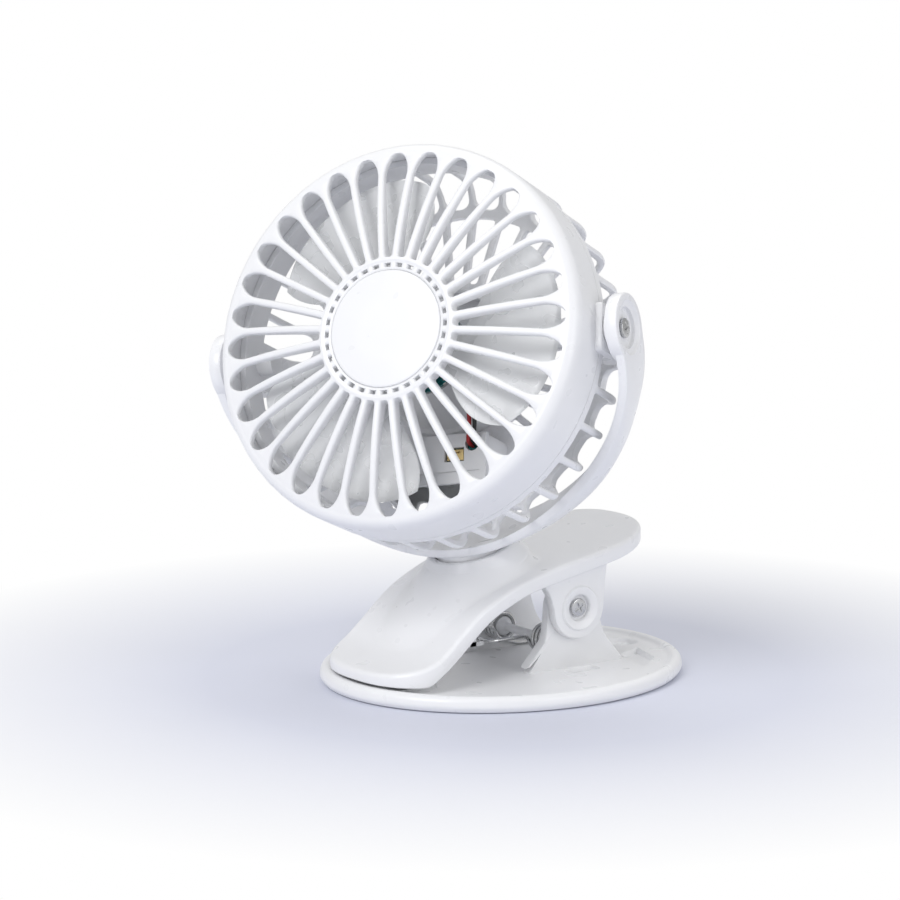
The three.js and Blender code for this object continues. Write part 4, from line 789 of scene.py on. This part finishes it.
def opened(made, cutters):
    """Cut openings through a piece with closed surfaces, and keep the result as its mesh."""
    for points, faces in cutters:
        tool = bpy.data.objects.new("opening", closed_mesh("opening", points.reshape(-1, 3), faces))
        bpy.context.scene.collection.objects.link(tool)
        step = made.modifiers.new("opening", "BOOLEAN")
        step.operation, step.solver, step.object = "DIFFERENCE", "EXACT", tool
        bpy.context.view_layer.update()
        cut = bpy.data.meshes.new_from_object(made.evaluated_get(bpy.context.evaluated_depsgraph_get()))
        made.modifiers.clear()
        made.data = cut
        bpy.data.objects.remove(tool)


SOCKET_X, SOCKET_Y, SOCKET_HALF_X, SOCKET_HALF_Y = 7.3, -29.4, 3.3, 2.3
middle, reach = rectangle_reach(SOCKET_X - SOCKET_HALF_X, SOCKET_X + SOCKET_HALF_X,
                                SOCKET_Y - SOCKET_HALF_Y, SOCKET_Y + SOCKET_HALF_Y, 0.9)
mouth = [(0, 0, -27), (0, 1, -27), (0, 1, -20), (0, 0, -20)]
opened(rear_piece, [in_head(along_head_z(lug(middle, reach, mouth, 64)))])

# ---------------------------------------------------------------- tilt pivots
# A ring bush between each pad and the yoke, and the cross-head screw that holds the head
# in the yoke's arm and lets it tilt.

dress_slots(satin_white, "tilt_bush_right", "tilt_bush_left")
TILT_HEAD_X = 62.0
for word, side, spin in (("right", 1, 0.6), ("left", -1, 0.9)):
    screw = spun(cross_screw(2.8, 0.9, 14.9, 1.4, 0.62), spin, TILT_HEAD_X)
    piece(f"tilt_screw_{word}_pressed", [in_head(along_x(screw, 0, 0, side))], zinc, "head",
          "zinc_steel", f"tilt_screw_{word}")

# ---------------------------------------------------------------- motor
# A small outrunner: a pressed steel base, a round board, a laminated core with six
# copper coils, and a steel bell with its magnet ring, which turns on the shaft.

SHEET_THICK = 0.00025


def wound(name, colour):
    """Enamelled copper wire laid side by side: fine ridges, with painted shade in the grooves between them.
    """
    material, tree, shader, where = new_finish(name)
    waves = {"Vector": where, "Scale": 900, "Distortion": 1.5}
    turns = node(tree, "TexWave", waves, bands_direction="DIAGONAL").outputs["Fac"]
    rough = ranged(tree, noise(tree, where, 700), 0.22, 0.4)
    # painted shade: the copper darkens to about a third in each groove between turns, where the bump is
    # lowest
    skin = tinted(tree, turns, scaled(colour, 0.35), colour)
    fed(shader, skin, rough, embossed(tree, turns, 1.2e-4, 0.8), Metallic=0.85)
    return material


def laminated(name, colour):
    """Stacked iron sheets: even dark lines across the motor's axis and a dull oily skin."""
    material, tree, shader, where = new_finish(name)
    along = node(tree, "VectorMath", {0: where, 1: tuple(FORWARD)}, operation="DOT_PRODUCT")
    lines = node(tree, "Math", {0: along.outputs["Value"], 1: SHEET_THICK}, operation="PINGPONG")
    sheet = ranged(tree, lines.outputs["Value"], 0, 1, 0.0, SHEET_THICK * 0.8)
    rough = ranged(tree, noise(tree, where, 500), 0.4, 0.62)
    skin = tinted(tree, sheet, scaled(colour, 0.4), colour)
    fed(shader, skin, rough, embossed(tree, sheet, 6e-5, 0.6), Metallic=0.8)
    return material


def soldered(name, colour, metal):
    """A circuit board: a green lacquer over faint tracks, with small tinned pads."""
    material, tree, shader, where = new_finish(name)
    cells = node(tree, "TexVoronoi", {"Vector": where, "Scale": 420}, feature="DISTANCE_TO_EDGE")
    track = ranged(tree, cells.outputs["Distance"], 0, 1, 0.03, 0.09)
    lacquer = tinted(tree, track, scaled(colour, 1.9), colour)
    spots = node(tree, "TexVoronoi", {"Vector": where, "Scale": 330})
    pads = ranged(tree, spots.outputs["Distance"], 1, 0, 0.16, 0.2)
    skin = node(tree, "Mix", {"Factor": pads, "A": lacquer, "B": (*metal, 1)}, data_type="RGBA")
    rough = ranged(tree, noise(tree, where, 900), 0.25, 0.45)
    fed(shader, skin.outputs["Result"], rough, embossed(tree, pads, 8e-5, 0.7))
    return material


board_green = soldered("board_green_lacquer", (0.015, 0.13, 0.13), (0.62, 0.6, 0.55))
dark_moulded = moulded("dark_moulded_plastic", (0.02, 0.02, 0.023), 0.42, grain=1.4e-5, drift=0.3)
brass = drawn_metal("bearing_brass", (0.66, 0.5, 0.24), 0.3, 800)
dress_slots(zinc, "motor_base", "rotor_bell", "motor_shaft")
dress_slots(board_green, "motor_board", "control_board")
dress_slots(laminated("stator_sheets", (0.1, 0.11, 0.12)), "stator_core")
dress_slots(wound("coil_copper_wire_painted_groove_shade", (0.72, 0.3, 0.12)), *[f"motor_coil_{i}" for i in range(1, 7)])
dress_slots(brass, "shaft_bearing_rear", "shaft_bearing_front")
dress_slots(dark_moulded, "rotor_magnet", "push_switch")

# ---------------------------------------------------------------- fan blades
# Three broad frosted blades and their cup-shaped hub in one translucent moulding, pressed
# over the motor's bell.

BLADES, BLADE_TIP, HUB_RADIUS, HUB_FRONT, HUB_REAR = 3, 46.5, 15.2, 15.5, 8.7
BLADE_MIDDLE, BLADE_PITCH, BLADE_THICK, HUB_INNER, HUB_INNER_FRONT = 9.7, 4.6, 1.3, 14.2, 14.2


def frosted(name, colour):
    """Frosted see-through plastic: some light passes, with flow lines and a soft grain."""
    material, tree, shader, where = new_finish(name)
    flow = ranged(tree, noise(tree, where, 45, 3), 0, 1)
    pale = tuple(min(c * 1.05, 0.95) for c in colour)
    rough = ranged(tree, noise(tree, where, 200, 1), 0.24, 0.36)
    grain = embossed(tree, noise(tree, where, 240, 1), 8e-6, 0.12)
    fed(shader, tinted(tree, flow, colour, pale), rough, grain, Transmission_Weight=0.22, IOR=1.47)
    return material


def blade_surface(turn):
    """A blade by its share from root to tip and across its chord: it twists, cups, and
    thins to nothing at its round edge.
    """
    u = np.linspace(0, 1, 40)[:, None]
    v = np.sin(np.linspace(-np.pi / 2, np.pi / 2, 45))[None, :]
    root = HUB_RADIUS - 0.8
    tip = BLADE_TIP * (1 - 0.075 * np.abs(v) ** 3.2)
    r = root + (tip - root) * u
    chord = np.radians(14 + 30 * (1 - (1 - u) ** 3) - 6 * u**4)
    a = chord * v + np.radians(9 * u) + turn
    cup = 1.8 * (1 - v * v) * u
    edge = np.sqrt(np.maximum(1 - np.abs(v) ** 10, 0)) * np.sqrt(np.maximum(1 - u**24, 0))
    thick = BLADE_THICK / 2 * (1 - 0.55 * np.abs(v) ** 3) * edge * np.clip(u / 0.02, 0, 1)
    z = BLADE_MIDDLE + 1.6 - BLADE_PITCH * v * (1 - 0.25 * u) - cup
    layers = [np.stack([r * np.cos(a), r * np.sin(a), z + side * thick], -1) for side in (1, -1)]
    count = layers[0][..., 0].size
    faces = grid_faces(40, 45)
    points = np.concatenate([layer.reshape(-1, 3) for layer in layers])
    return points, np.vstack([faces, faces[:, ::-1] + count])


hub = softened([(0.001, HUB_FRONT), (HUB_RADIUS, HUB_FRONT), (HUB_RADIUS, HUB_REAR), (HUB_INNER, HUB_REAR),
                (HUB_INNER, HUB_INNER_FRONT), (0.001, HUB_INNER_FRONT)], 0.8)
blades = [blade_surface(math.radians(108) + k * 2 * math.pi / BLADES) for k in range(BLADES)]
blade_clear = frosted("frosted_blade_plastic_clear", (0.78, 0.79, 0.80))
piece("fan_blades_moulding", [in_head(part) for part in (turned(hub, 96), *blades)], blade_clear, "fan",
      "frosted_blade_plastic", "fan_blades", crease=50)

# ---------------------------------------------------------------- front grille
# The front half of the head: a domed ring of thirty-two slim ribs between the hub and a
# smooth round rim, with a ring of small square holes round the hub, and a cap over it.

FACE_Z, DOME_RISE, HUB_HOLE, SLOT_ROOT, SLOT_WIDE, SLOT_TIP, RIB = 18.0, 4.7, 18.1, 20.3, 45.5, 51.7, 2.0
BAND_REAR, CAP_RADIUS, CAP_BED, BED_RADIUS, RIM_START, RIM_Z = 1.5, 16.65, 1.5, 16.7, 51.9, 13.55


def dome(r):
    """The grille's height at a radius: flat to the hub's holes, then a parabola's fall."""
    t = np.maximum(0, r - HUB_HOLE) / (SLOT_TIP - HUB_HOLE)
    return FACE_Z + DOME_RISE * (1 - t * t)


def slot_half(r):
    """A slot's half width: a narrow round root, then wider so that its ribs stay parallel,
    and half an ellipse at its tip.
    """
    wide = SLOT_WIDE * PITCH / 2 - RIB / 2
    straight = r * PITCH / 2 - RIB / 2
    tip = wide * np.sqrt(np.maximum(1 - ((r - SLOT_WIDE) / (SLOT_TIP - SLOT_WIDE)) ** 2, 0))
    root = np.sqrt(np.clip(1 - (1 - (r - SLOT_ROOT) / 0.9) ** 2, 0, 1))
    slot = np.where(r > SLOT_WIDE, tip, straight * np.where(r < SLOT_ROOT + 0.9, root, 1))
    hole = 0.68 * (np.abs(r - HUB_HOLE + 0.05) < 0.601)
    return np.where((r > SLOT_ROOT) & (r < SLOT_TIP), slot, hole)


def front_shell():
    """The profile from the cap's bed over the dome and the rim to the band's rear edge."""
    bed = FACE_Z + DOME_RISE - CAP_BED
    r_bed = BED_RADIUS
    near_hub = [r_bed + 0.25, 17.44, 17.45, 17.6, 18.05, 18.5, 18.65, 18.66, 18.9, 19.15, 19.4, 19.65, 19.9,
                20.1, 20.3, 20.33, 20.4, 20.55, 20.8, 21.2]
    tips = SLOT_WIDE + (SLOT_TIP - SLOT_WIDE) * np.sin(np.linspace(0.16, np.pi / 2, 12))
    face = np.concatenate([near_hub, np.linspace(22.5, SLOT_WIDE, 18), tips, [RIM_START]])
    flat = np.stack([face, dome(face) + 0.3 * np.exp(-(((face - 19.6) / 0.45) ** 2))], 1)
    depth = HEAD_WALL + 1.7 * np.clip((44 - face) / 22, 0, 1) * np.clip((face - 18.6) / 1.5, 0, 1)
    a = np.radians(np.linspace(8, 90, 12))
    rim = np.stack([RIM_START + 3.1 * np.sin(a), RIM_Z + 4.4 * np.cos(a)], 1)
    rim_inner = np.stack([SLOT_TIP + 1.1 * np.sin(a), RIM_Z + 2.2 * np.cos(a)], 1)
    side = np.array([(55, 10), (55, 6), (55, 3), (55, 1.9), (54.96, 1.6), (54.86, BAND_REAR)])
    side_inner = np.array([(52.8, 10), (52.8, 6), (52.8, 3), (52.8, 2.0), (52.9, 1.65), (53.1, BAND_REAR)])
    start = np.array([(0.01, bed), (r_bed - 0.3, bed), (r_bed, bed + 0.2), (r_bed, bed + CAP_BED - 0.2)])
    outer = np.vstack([start, flat, rim, side])
    under = np.stack([start[:, 0], np.full(len(start), bed - HEAD_WALL)], 1)
    beneath = np.stack([face, dome(face) - depth], 1)
    inner = np.vstack([under, beneath, rim_inner, side_inner])
    half = np.repeat(slot_half(outer[:, :1]), RIBS, 1) * (outer[:, 1:] > FACE_Z - 0.5)
    return pierced(outer, inner, half, 0.75)


piece("front_grille_moulding", [in_head(front_shell())], gloss_white, "head", "white_plastic",
      "front_grille", crease=40)
cap_z = FACE_Z + DOME_RISE
cap = softened([(0.001, cap_z + 0.55), (9, cap_z + 0.5), (CAP_RADIUS - 0.2, cap_z + 0.2),
                (CAP_RADIUS, cap_z - 0.3), (CAP_RADIUS, cap_z - 1.2), (0.001, cap_z - 1.2)], 0.5)
cap_surface = in_head(turned(cap, 144))
piece("hub_cap_moulding", [cap_surface], gloss_white, "head", "white_plastic", "grille_hub_cap")

# ---------------------------------------------------------------- control box
# A low box at the bottom of the head: a satin lid with a window for the socket's back,
# the board, the charging socket, the push button with its switch, and a clear lens.

dress_slots(satin_white, "control_box_lid")
dress_slots(brass, "usb_socket")
BUTTON_AT, LENS_AT = (-7.3, -30.0, 0), (0, -33.4, 0)
button = softened([(0.001, -25.1), (2.4, -25.15), (3.4, -25.4), (3.6, -24.9), (3.6, -22.0), (4.8, -22.0),
                   (4.8, -21.3), (0.001, -21.3)], 0.3)
points, faces = turned(button, 72)
piece("power_button_moulding", [in_head((points + BUTTON_AT, faces))], satin_white, "button",
      "satin_white_plastic", "power_button")
lens = softened([(0.001, -24.2), (0.9, -24.15), (1.2, -23.9), (1.2, -22.1), (1.9, -22.1), (1.9, -12),
                 (0.001, -12)], 0.15)
points, faces = turned(lens, 48)
lens_clear = frosted("indicator_lens_clear", (0.86, 0.87, 0.88))
piece("indicator_lens_moulding", [in_head((points + LENS_AT, faces))], lens_clear, "head",
      "frosted_blade_plastic", "indicator_lens")

# ---------------------------------------------------------------- battery and rear cover
# A foil-wrapped flat cell under a round white cover on the head's back, held by three
# small zinc screws in deep recesses.


def wrapped(name, colour):
    """Crinkled foil: large soft creases and a fine one, with a gloss that varies."""
    material, tree, shader, where = new_finish(name)
    crease = noise(tree, where, 160, 5)
    skin = tinted(tree, ranged(tree, crease, 0, 1), colour, scaled(colour, 0.8))
    rough = ranged(tree, crease, 0.25, 0.5)
    fed(shader, skin, rough, embossed(tree, crease, 1.5e-4, 0.6), Metallic=0.9)
    return material


dress_slots(wrapped("cell_foil_wrap", (0.42, 0.44, 0.46)), "battery_cell")
COVER_RADIUS, COVER_REAR, COVER_WALL, COVER_FRONT = 21.6, -32.2, 1.6, -24.3
COVER_SCREW_RING, RECESS_FLOOR = 18.2, -28.9
rim_r, rear_z = COVER_RADIUS, COVER_REAR
cover = softened([(0.001, rear_z), (rim_r - 4.0, rear_z), (rim_r - 0.8, rear_z + 1.8), (rim_r, rear_z + 4.0),
                  (rim_r, COVER_FRONT), (rim_r - COVER_WALL, COVER_FRONT),
                  (rim_r - COVER_WALL, rear_z + 4.2), (rim_r - 4.8, rear_z + COVER_WALL),
                  (0.001, rear_z + COVER_WALL)], 1.2, 6)
cover_surface = in_head(turned(cover, 128))
cover_piece = piece("rear_cover_moulding", [cover_surface], gloss_white, "head", "white_plastic",
                    "rear_cover")
recess = np.array([(0.001, -34), (2.7, -34), (2.6, RECESS_FLOOR), (0.001, RECESS_FLOOR)])
bores, cover_screws = [], []
for degrees in (90, 210, 330):
    x = COVER_SCREW_RING * math.cos(math.radians(degrees))
    y = COVER_SCREW_RING * math.sin(math.radians(degrees))
    points, faces = turned(recess, 48)
    bores.append(in_head((points + (x, y, 0), faces)))
    points, faces = cross_screw(2.2, 1.2, 8.0, 0.9, 0.5, 96)
    cover_screws.append(in_head((points * (1, 1, -1) + (x, y, COVER_REAR + 1.8), faces)))
opened(cover_piece, bores)
for number, screw in enumerate(cover_screws, 1):
    piece(f"cover_screw_{number}_pressed", [screw], zinc, "head", "zinc_steel", f"cover_screw_{number}")

# ---------------------------------------------------------------- leads
# Two thin stranded leads, red and black, that run from the motor's board down into the
# control box.


def sleeved(name, colour):
    """Soft wire sleeve: a low sheen, a faint mottle, and the strands showing through."""
    material, tree, shader, where = new_finish(name)
    mottle = noise(tree, where, 800)
    skin = tinted(tree, ranged(tree, mottle, 0, 1), colour, scaled(colour, 0.75))
    strands = embossed(tree, noise(tree, where, 1500), 2e-5, 0.5)
    fed(shader, skin, ranged(tree, mottle, 0.32, 0.5), strands)
    return material


def lead_line(offset):
    """The lead's points in the head's frame, beside its fellow."""
    points = [(9.2, -6.4, 0.5), (11.6, -9.6, 1.2), (13.6, -13.4, 0.3), (14.8, -17.6, -1.6),
              (14.4, -22.6, -3.6), (13.1, -25.9, -5.9), (12.7, -26.5, -9.5), (12.7, -26.5, -10.0)]
    return spline(np.array(points) + (offset, offset * 0.25, 0), 10)


LEAD_RADIUS = 0.6
for word, colour, offset in (("red", (0.45, 0.02, 0.025), -0.8), ("black", (0.012, 0.012, 0.014), 0.8)):
    surface = in_head(drawn_wire(lead_line(offset), LEAD_RADIUS, 14, (1, 0.2, 0.4)))
    sleeve = sleeved(f"{word}_wire_sleeve", colour)
    piece(f"{word}_lead_sleeved", [surface], sleeve, "head", f"{word}_wire", f"{word}_lead")

# ---------------------------------------------------------------- floor, light and camera
# A plain pale floor that fades to white, soft studio light, and the camera at the place
# the photograph was taken from.

FLOOR_NEAR, FLOOR_REACH, SKY_LEVEL = (0.70, 0.72, 0.82), 1.5, 0.55


def seen_by(tree, first, second):
    """1 for the rays of either kind, 0 for all others."""
    rays = node(tree, "LightPath", {}).outputs
    either = {0: rays[first], 1: rays[second]}
    return node(tree, "Math", either, operation="ADD", use_clamp=True).outputs["Value"]


def pale_floor():
    """A matt pale floor that turns white, as seen by the camera, away from the middle."""
    material, tree, shader, where = new_finish("pale_floor")
    distance = node(tree, "VectorMath", {0: where}, operation="LENGTH").outputs["Value"]
    far = ranged(tree, distance, 0, 1, 0.085, 0.20)
    drift = ranged(tree, noise(tree, where, 30), 0, 1)
    shade = tinted(tree, drift, FLOOR_NEAR, scaled(FLOOR_NEAR, 0.99))
    tree.links.new(shade, shader.inputs["Base Color"])
    shader.inputs["Roughness"].default_value = 0.6
    glow = node(tree, "Emission", {"Strength": 1.0})
    seen = seen_by(tree, "Is Camera Ray", "Is Glossy Ray")
    both = node(tree, "Math", {0: seen, 1: far}, operation="MULTIPLY")
    parts = {"Fac": both.outputs["Value"], 1: shader.outputs["BSDF"], 2: glow.outputs["Emission"]}
    mix = node(tree, "MixShader", parts)
    tree.links.new(mix.outputs["Shader"], tree.nodes["Material Output"].inputs["Surface"])
    return material


a = np.linspace(0, 2 * np.pi, 96, endpoint=False)
rings = np.array([0.0, 0.3, FLOOR_REACH])[:, None]
floor_mesh = bpy.data.meshes.new("floor")
floor_points = np.stack([rings * np.cos(a), rings * np.sin(a), np.full((3, 96), -0.0002)], -1).reshape(-1, 3)
floor_mesh.from_pydata(floor_points.tolist(), [], grid_faces(3, 96, close_columns=True).tolist())
floor_mesh.materials.append(pale_floor())
floor = bpy.data.objects.new("floor", floor_mesh)
bpy.context.scene.collection.objects.link(floor)

CAMERA_AT = Vector((0.7545, -0.5664, 0.2224))
LOOK, RIGHT_HAND, OVERHEAD = (-0.7981, 0.5795, -0.1644), (0.5875, 0.8091, 0.0), (-0.1330, 0.0966, 0.9862)
eye = bpy.data.cameras.new("camera")
eye.lens, eye.sensor_width = 133.85, 36
camera = bpy.data.objects.new("camera", eye)
turn = Matrix((RIGHT_HAND, OVERHEAD, tuple(-c for c in LOOK))).transposed().to_4x4()
camera.matrix_world = Matrix.Translation(CAMERA_AT) @ turn
bpy.context.scene.collection.objects.link(camera)
bpy.context.scene.camera = camera


def softbox(name, at, aim, size, power):
    """A square lamp that faces a point."""
    lamp = bpy.data.lights.new(name, "AREA")
    lamp.size, lamp.energy = size, power
    box = bpy.data.objects.new(name, lamp)
    box.location = at
    box.rotation_euler = (Vector(aim) - Vector(at)).to_track_quat("-Z", "Y").to_euler()
    bpy.context.scene.collection.objects.link(box)


middle_of_fan = (0, -0.02, 0.09)
softbox("key_softbox", (0.35, -1.15, 0.95), middle_of_fan, 0.7, 10)
softbox("side_softbox", (1.1, 0.35, 0.5), middle_of_fan, 0.7, 3)
softbox("top_softbox", (-0.4, 0.2, 1.3), middle_of_fan, 0.8, 3.5)

world = bpy.data.worlds.new("studio")
bpy.context.scene.world = world
world.use_nodes = True
sky = world.node_tree.nodes["Background"]
seen = seen_by(world.node_tree, "Is Camera Ray", "Is Transmission Ray")
level = ranged(world.node_tree, seen, SKY_LEVEL, 1.0, 0, 1)
world.node_tree.links.new(level, sky.inputs["Strength"])
sky.inputs["Color"].default_value = (1, 1, 1, 1)

bpy.context.scene.view_settings.view_transform = "Standard"
